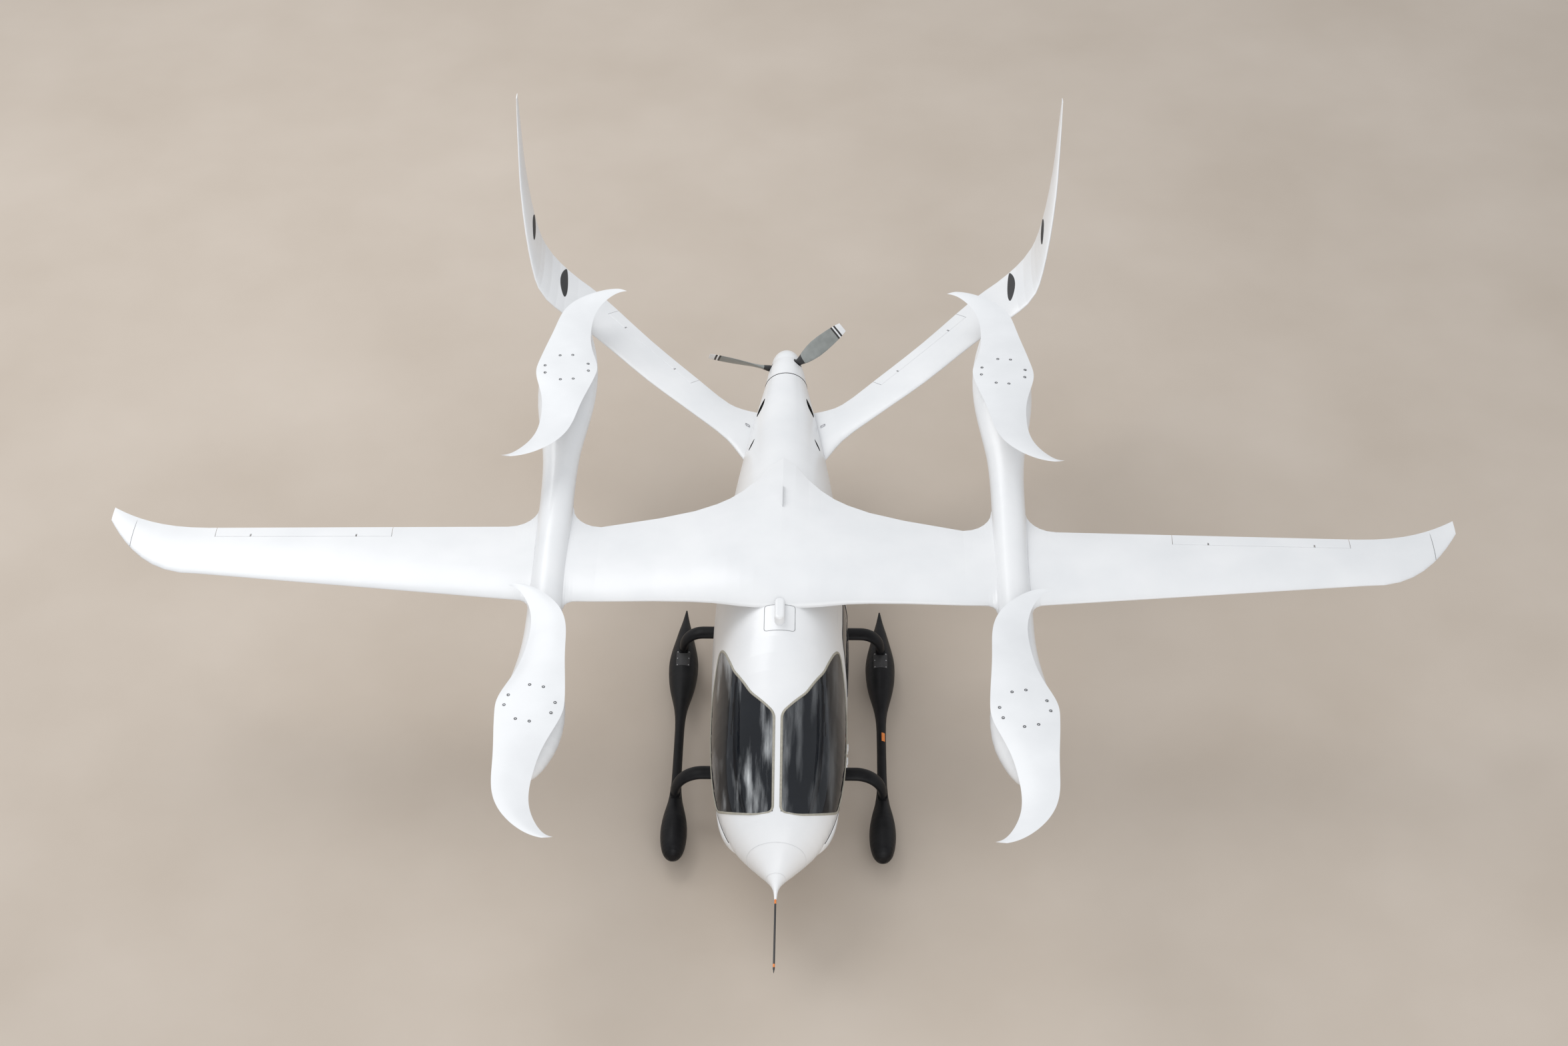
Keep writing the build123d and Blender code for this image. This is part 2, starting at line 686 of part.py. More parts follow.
with BuildPart() as tail_cone:
    add(outer)
    add(block(-900, 900, tail_seam_y, tail_end_y + 10, 0, 3000), mode=Mode.INTERSECT)
    add(tail_bay.part, mode=Mode.SUBTRACT)
    add(wing_crossing.part, mode=Mode.SUBTRACT)
    with BuildSketch(Plane(origin=(0, tail_end_y - 160, prop_z), x_dir=(1, 0, 0), z_dir=(0, 1, 0))):
        Circle(prop_shaft_radius + run_gap)
    extrude(amount=200, mode=Mode.SUBTRACT)

with BuildPart() as air_data_probe:
    with BuildSketch(Plane(origin=(0, -4600, 1090), x_dir=(1, 0, 0), z_dir=(0, -1, 0))):
        Circle(11)
    extrude(amount=-4600 - probe_tip_y - 60)
    with BuildSketch(Plane(origin=(0, probe_tip_y + 60, 1090), x_dir=(1, 0, 0), z_dir=(0, -1, 0))):
        Circle(11)
    extrude(amount=60, taper=8)

with BuildPart() as wing_centre:
    add(wing_crossing.part)
    add(boom_body.part, mode=Mode.SUBTRACT)
    add(mirror(boom_body.part, about=Plane.YZ), mode=Mode.SUBTRACT)

with BuildPart() as wing_outer_left:
    add(outer_full)
    add(boom_body.part, mode=Mode.SUBTRACT)
    add(flap_zone(AILERON, move_gap), mode=Mode.SUBTRACT)
    add(aileron_tongues)

with BuildPart() as aileron_left:
    add(outer_full)
    add(flap_zone(AILERON, 0), mode=Mode.INTERSECT)
    add(aileron_slots, mode=Mode.SUBTRACT)
    add(aileron_holes, mode=Mode.SUBTRACT)

with BuildPart() as tail_panel_left:
    add(tail_body.part)
    add(outer, mode=Mode.SUBTRACT)
    add(flap_zone(RUDDERVATOR, move_gap), mode=Mode.SUBTRACT)
    add(ruddervator_tongues)

with BuildPart() as ruddervator_left:
    add(tail_body.part)
    add(flap_zone(RUDDERVATOR, 0), mode=Mode.INTERSECT)
    add(ruddervator_slots, mode=Mode.SUBTRACT)
    add(ruddervator_holes, mode=Mode.SUBTRACT)

tie_down_y = -1000
tie_down_face_z = 2268
with BuildPart() as boom_left:
    add(boom_body.part)
    add(tail_body.part, mode=Mode.SUBTRACT)
    for end in ROTORS:
        place, hand = rotor_place(end, 1)
        add(rotor_well.part.moved(place.location), mode=Mode.SUBTRACT)
    with BuildSketch(Plane.XY.offset(tie_down_face_z)):
        with Locations((boom_x, tie_down_y)):
            Circle(30)
    extrude(amount=60)
    with BuildSketch(Plane.XY.offset(tie_down_face_z)):
        with Locations((boom_x, tie_down_y)):
            Circle(5)
    extrude(amount=40, mode=Mode.SUBTRACT)

# Cabin fittings
with BuildPart() as rear_bulkhead:
    add(fuselage_loft(skin + 2, 3, 11))
    add(block(-900, 900, tail_seam_y - bulkhead_thickness, tail_seam_y, floor_z, ceiling_z - 2), mode=Mode.INTERSECT)

lining = fuselage_loft(skin + 8, 3, 11)
with BuildPart() as cabin_floor:
    add(lining)
    add(block(-900, 900, -3700, tail_seam_y - bulkhead_thickness - 2, floor_z, floor_z + floor_thickness), mode=Mode.INTERSECT)

with BuildPart() as battery_pack:
    add(block(*battery, radius=20))

seat_z = floor_z + floor_thickness
with BuildPart() as instrument_panel:
    add(block(-120, 120, -3480, -3300, seat_z, 1090, 20))
    add(block(-450, 450, -3480, -3300, 1090, 1340, 40))
    with BuildSketch(Plane(origin=(0, -3300, 1225), x_dir=(1, 0, 0), z_dir=(0, -1, 0))):
        with GridLocations(300, 0, 3, 1):
            RectangleRounded(270, 180, 12)
    extrude(amount=8, mode=Mode.SUBTRACT)


def seat(x0, x1, front, rear, base_height, cushion_top, back_top):
    """Seat with a boxed base, a cushion and a raked back."""
    with BuildPart() as chair:
        with BuildSketch(Plane.YZ.offset(x0)):
            with BuildLine():
                Polyline(
                    (front + 60, seat_z), (rear - 40, seat_z), (rear - 40, base_height), (rear + 90, back_top),
                    (rear, back_top + 30), (rear - 130, cushion_top), (front, cushion_top),
                    (front, base_height), (front + 60, base_height), close=True)
            make_face()
            fillet(vertices().group_by(Axis.Y)[-1] + vertices().group_by(Axis.Y)[-2], 25)
        extrude(amount=x1 - x0)
    return chair.part


with BuildPart() as crew_seats:
    for x in (-330, 330):
        add(seat(x - 215, x + 215, -2960, -2420, 1080, 1180, 1760))
    add(lining, mode=Mode.INTERSECT)

with BuildPart() as passenger_bench:
    add(seat(-520, 520, -1080, -500, 1080, 1190, 1780))
    add(lining, mode=Mode.INTERSECT)

with BuildPart() as antennas:
    with BuildSketch(Plane.XY.offset(2400)):
        with Locations((0, -1800)):
            SlotOverall(340, 112, rotation=90)
    extrude(amount=180)
    fillet(faces().sort_by(Axis.Z)[-1].edges(), 30)
    with BuildSketch(Plane.YZ.offset(-3)):
        with BuildLine():
            Polyline((-150, 2480), (270, 2480), (270, 2570), (220, 2600), (-60, 2650), (-150, 2625), close=True)
        make_face()
    extrude(amount=6)
    add(outer, mode=Mode.SUBTRACT)
    add(wing_crossing.part, mode=Mode.SUBTRACT)


def wheel_parts(end):
    """Rim and tyre of one wheel, revolved about its axle."""
    y, tyre_radius, tyre_half, rim_radius = WHEELS[end]
    face = Plane(origin=(skid_x, y, tyre_radius), x_dir=(1, 0, 0), z_dir=(0, -1, 0))
    axis = Axis((0, y, tyre_radius), (1, 0, 0))
    bead = tyre_half - 10
    hub = tyre_half + 12
    with BuildPart() as rim:
        with BuildSketch(face):
            with BuildLine():
                Polyline(
                    (-hub, axle_radius + run_gap), (hub, axle_radius + run_gap), (hub, 36), (10, 44),
                    (10, rim_radius - 18), (bead, rim_radius - 12), (bead, rim_radius), (-bead, rim_radius),
                    (-bead, rim_radius - 12), (-10, rim_radius - 18), (-10, 44), (-hub, 36), close=True)
            make_face()
        revolve(axis=axis)
    with BuildPart() as tyre:
        with BuildSketch(face):
            with BuildLine():
                Polyline(
                    (-bead, rim_radius), (bead, rim_radius), (tyre_half, rim_radius + 26),
                    (tyre_half, tyre_radius - 30), (tyre_half - 14, tyre_radius - 7), (tyre_half - 34, tyre_radius),
                    (8, tyre_radius), (5, tyre_radius - 6), (-5, tyre_radius - 6), (-8, tyre_radius),
                    (-tyre_half + 34, tyre_radius), (-tyre_half + 14, tyre_radius - 7),
                    (-tyre_half, tyre_radius - 30), (-tyre_half, rim_radius + 26), close=True)
            make_face()
        revolve(axis=axis)
    return rim.part, tyre.part


def save(solid, name):
    """Write one piece with its name."""
    solid.label = name
    export_step(solid, f"parts/{name}.step")


def mirrored(solid):
    """The same piece on the aircraft's right side."""
    return mirror(solid, about=Plane.YZ)


SINGLE = {
    "nose_cone": nose_cone, "nose_cowl": nose_cowl, "fuselage_belly": fuselage_belly, "cabin_roof": cabin_roof,
    "cabin_side_left": cabin_side_left, "cabin_side_right": cabin_side_right, "cabin_door": cabin_door,
    "door_window": door_window, "tail_cone": tail_cone, "air_data_probe": air_data_probe,
    "wing_centre": wing_centre, "cabin_floor": cabin_floor, "battery_pack": battery_pack,
    "instrument_panel": instrument_panel, "crew_seats": crew_seats, "passenger_bench": passenger_bench,
    "rear_bulkhead": rear_bulkhead, "antennas": antennas, "prop_blades": prop_blades, "prop_spinner": prop_spinner,
}
PAIRED = {
    "windscreen": windscreen_left, "wing_outer": wing_outer_left, "aileron": aileron_left, "boom": boom_left,
    "tail_panel": tail_panel_left, "ruddervator": ruddervator_left, "skid": skid_left,
    "gear_struts": struts_left, "axles": axles_left,
}
for name, piece in SINGLE.items():
    save(piece.part, name)
for name, piece in PAIRED.items():
    save(piece.part, f"{name}_left")
    save(mirrored(piece.part), f"{name}_right")
for end in WHEELS:
    rim, tyre = wheel_parts(end)
    save(rim, f"rim_{end}_left")
    save(mirrored(rim), f"rim_{end}_right")
    save(tyre, f"tyre_{end}_left")
    save(mirrored(tyre), f"tyre_{end}_right")
for end in ROTORS:
    for side, word in ((1, "left"), (-1, "right")):
        place, hand = rotor_place(end, side)
        blade = rotor_blade.part if hand > 0 else mirrored(rotor_blade.part)
        save(blade.moved(place.location), f"rotor_{end}_{word}")
        save(rotor_hub.part.moved(place.location), f"hub_{end}_{word}")
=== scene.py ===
import math

import bmesh
import bpy
import numpy as np
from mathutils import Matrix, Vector
from mathutils.bvhtree import BVHTree


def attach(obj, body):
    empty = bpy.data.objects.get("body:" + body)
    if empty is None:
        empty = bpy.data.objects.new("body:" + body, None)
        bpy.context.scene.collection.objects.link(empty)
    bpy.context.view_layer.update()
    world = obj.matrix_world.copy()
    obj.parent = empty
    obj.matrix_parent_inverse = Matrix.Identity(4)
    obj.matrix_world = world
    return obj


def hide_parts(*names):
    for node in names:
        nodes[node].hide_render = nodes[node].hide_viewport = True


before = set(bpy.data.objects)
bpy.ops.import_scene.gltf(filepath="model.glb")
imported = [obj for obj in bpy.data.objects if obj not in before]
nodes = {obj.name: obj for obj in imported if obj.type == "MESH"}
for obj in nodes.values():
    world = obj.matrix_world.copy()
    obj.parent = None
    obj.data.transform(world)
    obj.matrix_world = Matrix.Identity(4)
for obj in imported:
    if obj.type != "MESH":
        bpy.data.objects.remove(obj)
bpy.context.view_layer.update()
print("frame loaded,", len(nodes), "solids")


# grid of points to quads; the last row or column joins the first where it is closed
def gridMesh(points, closeU=False, closeV=False):
    nu, nv = points.shape[:2]
    index = np.arange(nu * nv).reshape(nu, nv)
    if closeU:
        index = np.concatenate([index, index[:1]], axis=0)
    if closeV:
        index = np.concatenate([index, index[:, :1]], axis=1)
    quads = np.stack([index[:-1, :-1], index[1:, :-1], index[1:, 1:], index[:-1, 1:]], axis=-1).reshape(-1, 4)
    return points.reshape(-1, 3), quads


# rings closed at both ends by drawing the end rings to their middles
def capped(rings):
    middle = rings.mean(axis=1, keepdims=True).repeat(rings.shape[1], 1)
    return np.concatenate([middle[:1], rings, middle[-1:]])


# outer layer over an inner one, joined along their sides and closed at their ends
def layered(outer, inner):
    return capped(np.concatenate([outer, inner[:, ::-1]], axis=1))


def mirrorX(points):
    return points * np.array([-1.0, 1.0, 1.0])


# tube of rings on the left and its mirror image on the right
def bothSides(rings):
    return [gridMesh(rings, closeV=True), gridMesh(mirrorX(rings), closeV=True)]


# joins several grids into one mesh, welds poles and seams, and turns the faces outwards
def makePiece(name, grids, body, finish, smooth=True):
    start, allPoints, allQuads = 0, [], []
    for points, quads in grids:
        allPoints.append(points)
        allQuads.append(quads + start)
        start += len(points)
    mesh = bpy.data.meshes.new(name)
    mesh.from_pydata(np.concatenate(allPoints).tolist(), [], np.concatenate(allQuads).tolist())
    obj = bpy.data.objects.new(name, mesh)
    bpy.context.scene.collection.objects.link(obj)
    work = bmesh.new()
    work.from_mesh(mesh)
    bmesh.ops.remove_doubles(work, verts=work.verts, dist=1e-6)
    bmesh.ops.recalc_face_normals(work, faces=work.faces)
    work.to_mesh(mesh)
    work.free()
    mesh.polygons.foreach_set("use_smooth", np.full(len(mesh.polygons), smooth))
    mesh.materials.append(finish)
    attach(obj, body)
    return obj


# profile (closed loop of side, lift offsets) carried along a path; side is across the path, lift along up
def sweep(path, up, profile, closed=False):
    if closed:
        along = np.roll(path, -1, axis=0) - np.roll(path, 1, axis=0)
    else:
        along = np.gradient(path, axis=0)
    along /= np.linalg.norm(along, axis=1, keepdims=True)
    across = np.cross(along, up)
    across /= np.linalg.norm(across, axis=1, keepdims=True)
    lift = np.cross(across, along)
    rings = path[:, None] + profile[None, :, :1] * across[:, None] + profile[None, :, 1:] * lift[:, None]
    if not closed:
        rings = np.concatenate([path[:1, None].repeat(len(profile), 1), rings,
                                path[-1:, None].repeat(len(profile), 1)])
    return gridMesh(rings, closeU=closed, closeV=True)


# ellipse loop: (a cos t, b sin t)
def ovalLoop(a, b, count=12):
    t = np.linspace(0, 2 * np.pi, count, endpoint=False)
    return np.stack([a * np.cos(t), b * np.sin(t)], axis=1)


# radius and height profile turned about an axis through a point
def turned(centre, axis, profile, count=20):
    axis = np.asarray(axis, float) / np.linalg.norm(axis)
    side = np.cross(axis, (0.31, 0.87, 0.38))
    side /= np.linalg.norm(side)
    other = np.cross(axis, side)
    t = np.linspace(0, 2 * np.pi, count, endpoint=False)
    ring = np.cos(t)[:, None] * side + np.sin(t)[:, None] * other
    profile = np.asarray(profile, float)
    points = np.asarray(centre, float) + profile[:, None, :1] * ring[None] + profile[:, None, 1:] * axis
    return gridMesh(points, closeV=True)


# finish: object-space noise tints the colour, roughens and bumps the surface
def finishMaterial(name, dark, light, scale, rough, bump=0.0, bumpScale=None,
                   metal=0.0, coat=0.0, sheen=0.0, specular=0.5):
    mat = bpy.data.materials.new(name)
    mat.use_nodes = True
    tree = mat.node_tree
    shader = tree.nodes["Principled BSDF"]
    coords = tree.nodes.new("ShaderNodeTexCoord")
    cloud = tree.nodes.new("ShaderNodeTexNoise")
    cloud.inputs["Scale"].default_value = scale
    cloud.inputs["Detail"].default_value = 5.0
    tree.links.new(coords.outputs["Object"], cloud.inputs["Vector"])
    ramp = tree.nodes.new("ShaderNodeValToRGB")
    ramp.color_ramp.elements[0].position, ramp.color_ramp.elements[1].position = 0.3, 0.7
    ramp.color_ramp.elements[0].color = (*dark, 1)
    ramp.color_ramp.elements[1].color = (*light, 1)
    tree.links.new(cloud.outputs["Fac"], ramp.inputs["Fac"])
    tree.links.new(ramp.outputs["Color"], shader.inputs["Base Color"])
    spread = tree.nodes.new("ShaderNodeMapRange")
    spread.inputs["From Min"].default_value, spread.inputs["From Max"].default_value = 0.3, 0.7
    spread.inputs["To Min"].default_value, spread.inputs["To Max"].default_value = rough
    tree.links.new(cloud.outputs["Fac"], spread.inputs["Value"])
    tree.links.new(spread.outputs["Result"], shader.inputs["Roughness"])
    if bump:
        grain = tree.nodes.new("ShaderNodeTexNoise")
        grain.inputs["Scale"].default_value = bumpScale or scale * 20
        grain.inputs["Detail"].default_value = 3.0
        tree.links.new(coords.outputs["Object"], grain.inputs["Vector"])
        relief = tree.nodes.new("ShaderNodeBump")
        relief.inputs["Strength"].default_value = bump
        relief.inputs["Distance"].default_value = 0.002
        tree.links.new(grain.outputs["Fac"], relief.inputs["Height"])
        tree.links.new(relief.outputs["Normal"], shader.inputs["Normal"])
    shader.inputs["Metallic"].default_value = metal
    shader.inputs["Coat Weight"].default_value = coat
    shader.inputs["Coat Roughness"].default_value = 0.18
    shader.inputs["Specular IOR Level"].default_value = specular
    shader.inputs["Sheen Weight"].default_value = sheen
    return mat


# colours that change by steps along one object-space distance, laid over a finish
def addBands(mat, distance, stops):
    tree = mat.node_tree
    shader = tree.nodes["Principled BSDF"]
    old = shader.inputs["Base Color"].links[0].from_socket
    lowest, highest = stops[0][0], stops[-1][1]
    spread = tree.nodes.new("ShaderNodeMapRange")
    spread.inputs["From Min"].default_value, spread.inputs["From Max"].default_value = lowest, highest
    tree.links.new(distance(tree), spread.inputs["Value"])
    for low, high, colour in stops:
        ramp = tree.nodes.new("ShaderNodeValToRGB")
        ramp.color_ramp.interpolation = "CONSTANT"
        first = (low - lowest) / (highest - lowest)
        last = (high - lowest) / (highest - lowest)
        ramp.color_ramp.elements[0].color = (0, 0, 0, 1)
        ramp.color_ramp.elements[1].position = min(first, 0.9999)
        ramp.color_ramp.elements[1].color = (1, 1, 1, 1)
        if last < 1:
            end = ramp.color_ramp.elements.new(last)
            end.color = (0, 0, 0, 1)
        if first <= 0:
            ramp.color_ramp.elements[0].color = (1, 1, 1, 1)
        tree.links.new(spread.outputs["Result"], ramp.inputs["Fac"])
        mix = tree.nodes.new("ShaderNodeMix")
        mix.data_type = "RGBA"
        colourIn = [s for s in mix.inputs if s.type == "RGBA"]
        colourOut = [s for s in mix.outputs if s.type == "RGBA"][0]
        tree.links.new(old, colourIn[0])
        colourIn[1].default_value = (*colour, 1)
        tree.links.new(ramp.outputs["Color"], mix.inputs["Factor"])
        old = colourOut
    tree.links.new(old, shader.inputs["Base Color"])


# object-space coordinate along one axis
def alongAxis(letter):
    def build(tree):
        coords = tree.nodes.new("ShaderNodeTexCoord")
        split = tree.nodes.new("ShaderNodeSeparateXYZ")
        tree.links.new(coords.outputs["Object"], split.inputs["Vector"])
        return split.outputs[letter]
    return build


# object-space distance from a line that runs along Y through a point
def fromShaft(x, z):
    def build(tree):
        coords = tree.nodes.new("ShaderNodeTexCoord")
        shift = tree.nodes.new("ShaderNodeMapping")
        shift.inputs["Location"].default_value = (-x, 0, -z)
        shift.inputs["Scale"].default_value = (1, 0, 1)
        tree.links.new(coords.outputs["Object"], shift.inputs["Vector"])
        length = tree.nodes.new("ShaderNodeVectorMath")
        length.operation = "LENGTH"
        tree.links.new(shift.outputs["Vector"], length.inputs[0])
        return length.outputs["Value"]
    return build


gelcoatWhite = finishMaterial("gelcoatWhite", (0.74, 0.75, 0.76), (0.80, 0.805, 0.81),
                              1.4, (0.28, 0.38), 0.05, 45, coat=0.25)
rotorGelcoat = finishMaterial("rotorGelcoat", (0.74, 0.75, 0.76), (0.79, 0.80, 0.81),
                              2.2, (0.32, 0.42), 0.06, 60, coat=0.15)
satinCarbon = finishMaterial("satinCarbon", (0.006, 0.006, 0.007), (0.013, 0.013, 0.014),
                             6, (0.36, 0.5), 0.12, 160, specular=0.14)
hubAlloy = finishMaterial("hubAlloy", (0.50, 0.51, 0.53), (0.62, 0.63, 0.65), 30, (0.28, 0.42), 0.08, 300, metal=1.0)
axleSteel = finishMaterial("axleSteel", (0.38, 0.38, 0.40), (0.52, 0.52, 0.54), 40, (0.25, 0.4), 0.08, 300, metal=1.0)
tyreRubber = finishMaterial("tyreRubber", (0.016, 0.016, 0.016), (0.032, 0.031, 0.030), 25, (0.7, 0.88), 0.5, 220)
wheelAlloy = finishMaterial("wheelAlloy", (0.5, 0.5, 0.51), (0.62, 0.62, 0.63), 18, (0.3, 0.45), 0.08, 200, metal=0.9)
propGrey = finishMaterial("propGrey", (0.22, 0.235, 0.225), (0.29, 0.305, 0.295), 9, (0.35, 0.5), 0.1, 120, coat=0.2)
cabinTrim = finishMaterial("cabinTrim", (0.05, 0.052, 0.056), (0.085, 0.087, 0.092), 14, (0.5, 0.68), 0.3, 260)
seatCloth = finishMaterial("seatCloth", (0.07, 0.072, 0.078), (0.13, 0.132, 0.138),
                           60, (0.75, 0.92), 0.5, 520, sheen=0.3)
batteryCase = finishMaterial("batteryCase", (0.24, 0.25, 0.27), (0.30, 0.31, 0.33), 12, (0.4, 0.55), 0.1, 120)
probeShaft = finishMaterial("probeShaft", (0.018, 0.018, 0.019), (0.034, 0.034, 0.035), 30, (0.3, 0.42), 0.05, 200)
sealRubber = finishMaterial("sealRubber", (0.02, 0.02, 0.021), (0.04, 0.04, 0.042), 40, (0.55, 0.7), 0.2, 200)
gasketBeige = finishMaterial("gasketBeige", (0.30, 0.28, 0.23), (0.38, 0.36, 0.30), 30, (0.45, 0.6), 0.15, 200)
seamGrey = finishMaterial("seamGrey", (0.20, 0.205, 0.21), (0.28, 0.285, 0.29), 30, (0.5, 0.65), 0.1, 200)
seamPale = finishMaterial("seamPale", (0.62, 0.63, 0.64), (0.68, 0.69, 0.70), 30, (0.3, 0.4), 0.05, 200)
# matte black that paints the shade inside openings and gaps
paintedShadeBlack = finishMaterial("paintedShadeBlack", (0.003, 0.003, 0.003), (0.008, 0.008, 0.008), 30, (0.8, 0.95), specular=0.05)
displayGlass = finishMaterial("displayGlass", (0.008, 0.012, 0.02), (0.016, 0.024, 0.04), 8, (0.05, 0.14))
signalOrange = finishMaterial("signalOrange", (0.72, 0.20, 0.03), (0.82, 0.26, 0.05), 20, (0.35, 0.5), 0.05, 200)

# tinted acrylic: dark see-through body, with painted reflections: pale noise stripes drawn out along Y, painted into
# the colour, stronger towards -X, and less see-through where they lie
canopy = {"dark": (0.010, 0.015, 0.024), "light": (0.016, 0.022, 0.034),
          "paintedReflection": (0.66, 0.68, 0.69), "stretch": (9.0, 0.8, 2.0),
          "paintedReflectionRange": (0.47, 0.70), "sides": (-0.25, 0.25), "reflectionSideWeight": (0.9, 0.28), "clear": (0.72, 0.10)}
canopyTint = finishMaterial("canopyTint", canopy["dark"], canopy["light"], 3, (0.0, 0.03))
canopyTree = canopyTint.node_tree
canopyShader = canopyTree.nodes["Principled BSDF"]
canopyShader.inputs["IOR"].default_value = 1.49
canopyShader.inputs["Specular IOR Level"].default_value = 0.3
canopyBase = canopyShader.inputs["Base Color"].links[0].from_socket
canopyCoords = canopyTree.nodes.new("ShaderNodeTexCoord")
drawnOut = canopyTree.nodes.new("ShaderNodeMapping")
drawnOut.inputs["Scale"].default_value = canopy["stretch"]
canopyTree.links.new(canopyCoords.outputs["Object"], drawnOut.inputs["Vector"])
reflectionNoise = canopyTree.nodes.new("ShaderNodeTexNoise")
reflectionNoise.inputs["Scale"].default_value, reflectionNoise.inputs["Detail"].default_value = 1.0, 7.0
canopyTree.links.new(drawnOut.outputs["Vector"], reflectionNoise.inputs["Vector"])
# painted reflection: pale stripes where the drawn-out noise is high
paintedReflectionStreaks = canopyTree.nodes.new("ShaderNodeMapRange")
paintedReflectionStreaks.inputs["From Min"].default_value, paintedReflectionStreaks.inputs["From Max"].default_value = canopy["paintedReflectionRange"]
canopyTree.links.new(reflectionNoise.outputs["Fac"], paintedReflectionStreaks.inputs["Value"])
# painted reflection weighted more towards -X than towards +X
across = canopyTree.nodes.new("ShaderNodeMapRange")
across.inputs["From Min"].default_value, across.inputs["From Max"].default_value = canopy["sides"]
across.inputs["To Min"].default_value, across.inputs["To Max"].default_value = canopy["reflectionSideWeight"]
canopyTree.links.new(alongAxis("X")(canopyTree), across.inputs["Value"])
paintedReflectionWeight = canopyTree.nodes.new("ShaderNodeMath")
paintedReflectionWeight.operation = "MULTIPLY"
canopyTree.links.new(paintedReflectionStreaks.outputs["Result"], paintedReflectionWeight.inputs[0])
canopyTree.links.new(across.outputs["Result"], paintedReflectionWeight.inputs[1])
tinted = canopyTree.nodes.new("ShaderNodeMix")
tinted.data_type = "RGBA"
tintIn = [s for s in tinted.inputs if s.type == "RGBA"]
canopyTree.links.new(paintedReflectionWeight.outputs["Value"], tinted.inputs["Factor"])
canopyTree.links.new(canopyBase, tintIn[0])
tintIn[1].default_value = (*canopy["paintedReflection"], 1)
canopyTree.links.new([s for s in tinted.outputs if s.type == "RGBA"][0], canopyShader.inputs["Base Color"])
# where the painted reflection lies, the acrylic lets less light through
paintedReflectionClearness = canopyTree.nodes.new("ShaderNodeMapRange")
paintedReflectionClearness.inputs["To Min"].default_value, paintedReflectionClearness.inputs["To Max"].default_value = canopy["clear"]
canopyTree.links.new(paintedReflectionWeight.outputs["Value"], paintedReflectionClearness.inputs["Value"])
canopyTree.links.new(paintedReflectionClearness.outputs["Result"], canopyShader.inputs["Transmission Weight"])

addBands(propGrey, fromShaft(0, 1.75), [
    (0.0, 0.30, (0.015, 0.015, 0.016)), (0.86, 0.885, (0.02, 0.02, 0.02)), (0.885, 0.905, (0.78, 0.79, 0.80)),
    (0.905, 0.93, (0.02, 0.02, 0.02)), (0.93, 1.05, (0.78, 0.79, 0.80))])
addBands(probeShaft, alongAxis("Y"), [
    (-5.68, -5.62, (0.02, 0.02, 0.02)), (-5.60, -5.56, (0.75, 0.22, 0.04)), (-4.76, -4.70, (0.75, 0.22, 0.04))])

nodeFinish = {
    "windscreen": canopyTint, "door_window": canopyTint, "skid": satinCarbon, "gear_struts": satinCarbon,
    "axles": axleSteel, "rim": wheelAlloy, "tyre": tyreRubber, "rotor": rotorGelcoat, "hub": hubAlloy,
    "air_data_probe": probeShaft, "prop_blades": propGrey, "cabin_floor": cabinTrim, "rear_bulkhead": cabinTrim,
    "instrument_panel": cabinTrim, "crew_seats": seatCloth, "passenger_bench": seatCloth,
    "battery_pack": batteryCase,
}
for nodeName, nodeObject in nodes.items():
    kinds = [k for k in nodeFinish if nodeName.startswith(k)]
    chosen = nodeFinish[kinds[0]] if kinds else gelcoatWhite
    nodeObject.data.materials.clear()
    nodeObject.data.materials.append(chosen)
print("finishes on the solids")

# studio: pale floor, even sky, soft key from the left behind and a broad fill from the front
studio = {"floorHalf": 60.0, "floorDark": (0.50, 0.43, 0.36), "floorLight": (0.56, 0.49, 0.42),
          "skyColour": (0.95, 0.97, 1.0), "skyStrength": 0.72, "aim": (0.0, 0.0, 1.5)}
lamps = [{"name": "key", "power": 2300.0, "size": 16.0, "place": (-11.0, 9.0, 20.0)},
         {"name": "fill", "power": 2300.0, "size": 18.0, "place": (3.0, -24.0, 15.0)}]
floorMesh = bpy.data.meshes.new("floor")
half = studio["floorHalf"]
floorMesh.from_pydata([(-half, -half, 0), (half, -half, 0), (half, half, 0), (-half, half, 0)], [], [(0, 1, 2, 3)])
floor = bpy.data.objects.new("floor", floorMesh)
bpy.context.scene.collection.objects.link(floor)
paleFloor = finishMaterial("paleFloor", studio["floorDark"], studio["floorLight"], 0.35, (0.85, 0.95), 0.1, 30)
floorMesh.materials.append(paleFloor)

world = bpy.data.worlds.new("studioSky")
bpy.context.scene.world = world
world.use_nodes = True
world.node_tree.nodes["Background"].inputs["Color"].default_value = (*studio["skyColour"], 1)
world.node_tree.nodes["Background"].inputs["Strength"].default_value = studio["skyStrength"]

for lamp in lamps:
    light = bpy.data.lights.new(lamp["name"], "AREA")
    light.energy, light.size = lamp["power"], lamp["size"]
    lightObject = bpy.data.objects.new(lamp["name"], light)
    lightObject.location = lamp["place"]
    towards = np.array(studio["aim"]) - np.array(lamp["place"])
    flat = math.hypot(towards[0], towards[1])
    lightObject.rotation_euler = (math.atan2(flat, -towards[2]), 0, math.atan2(towards[1], towards[0]) - math.pi / 2)
    bpy.context.scene.collection.objects.link(lightObject)

# camera solved from the photograph
photoCamera = {"place": (0.371, -22.93, 22.85), "tilt": 48.0, "turn": 0.88, "focal": 4000 / 2350 * 36}
camera = bpy.data.cameras.new("photoView")
camera.sensor_width = 36
camera.lens = photoCamera["focal"]
cameraObject = bpy.data.objects.new("photoView", camera)
cameraObject.location = photoCamera["place"]
cameraObject.rotation_euler = (math.radians(photoCamera["tilt"]), 0, math.radians(photoCamera["turn"]))
bpy.context.scene.collection.objects.link(cameraObject)
bpy.context.scene.camera = cameraObject
bpy.context.scene.view_settings.view_transform = "Standard"
print("studio and camera set")


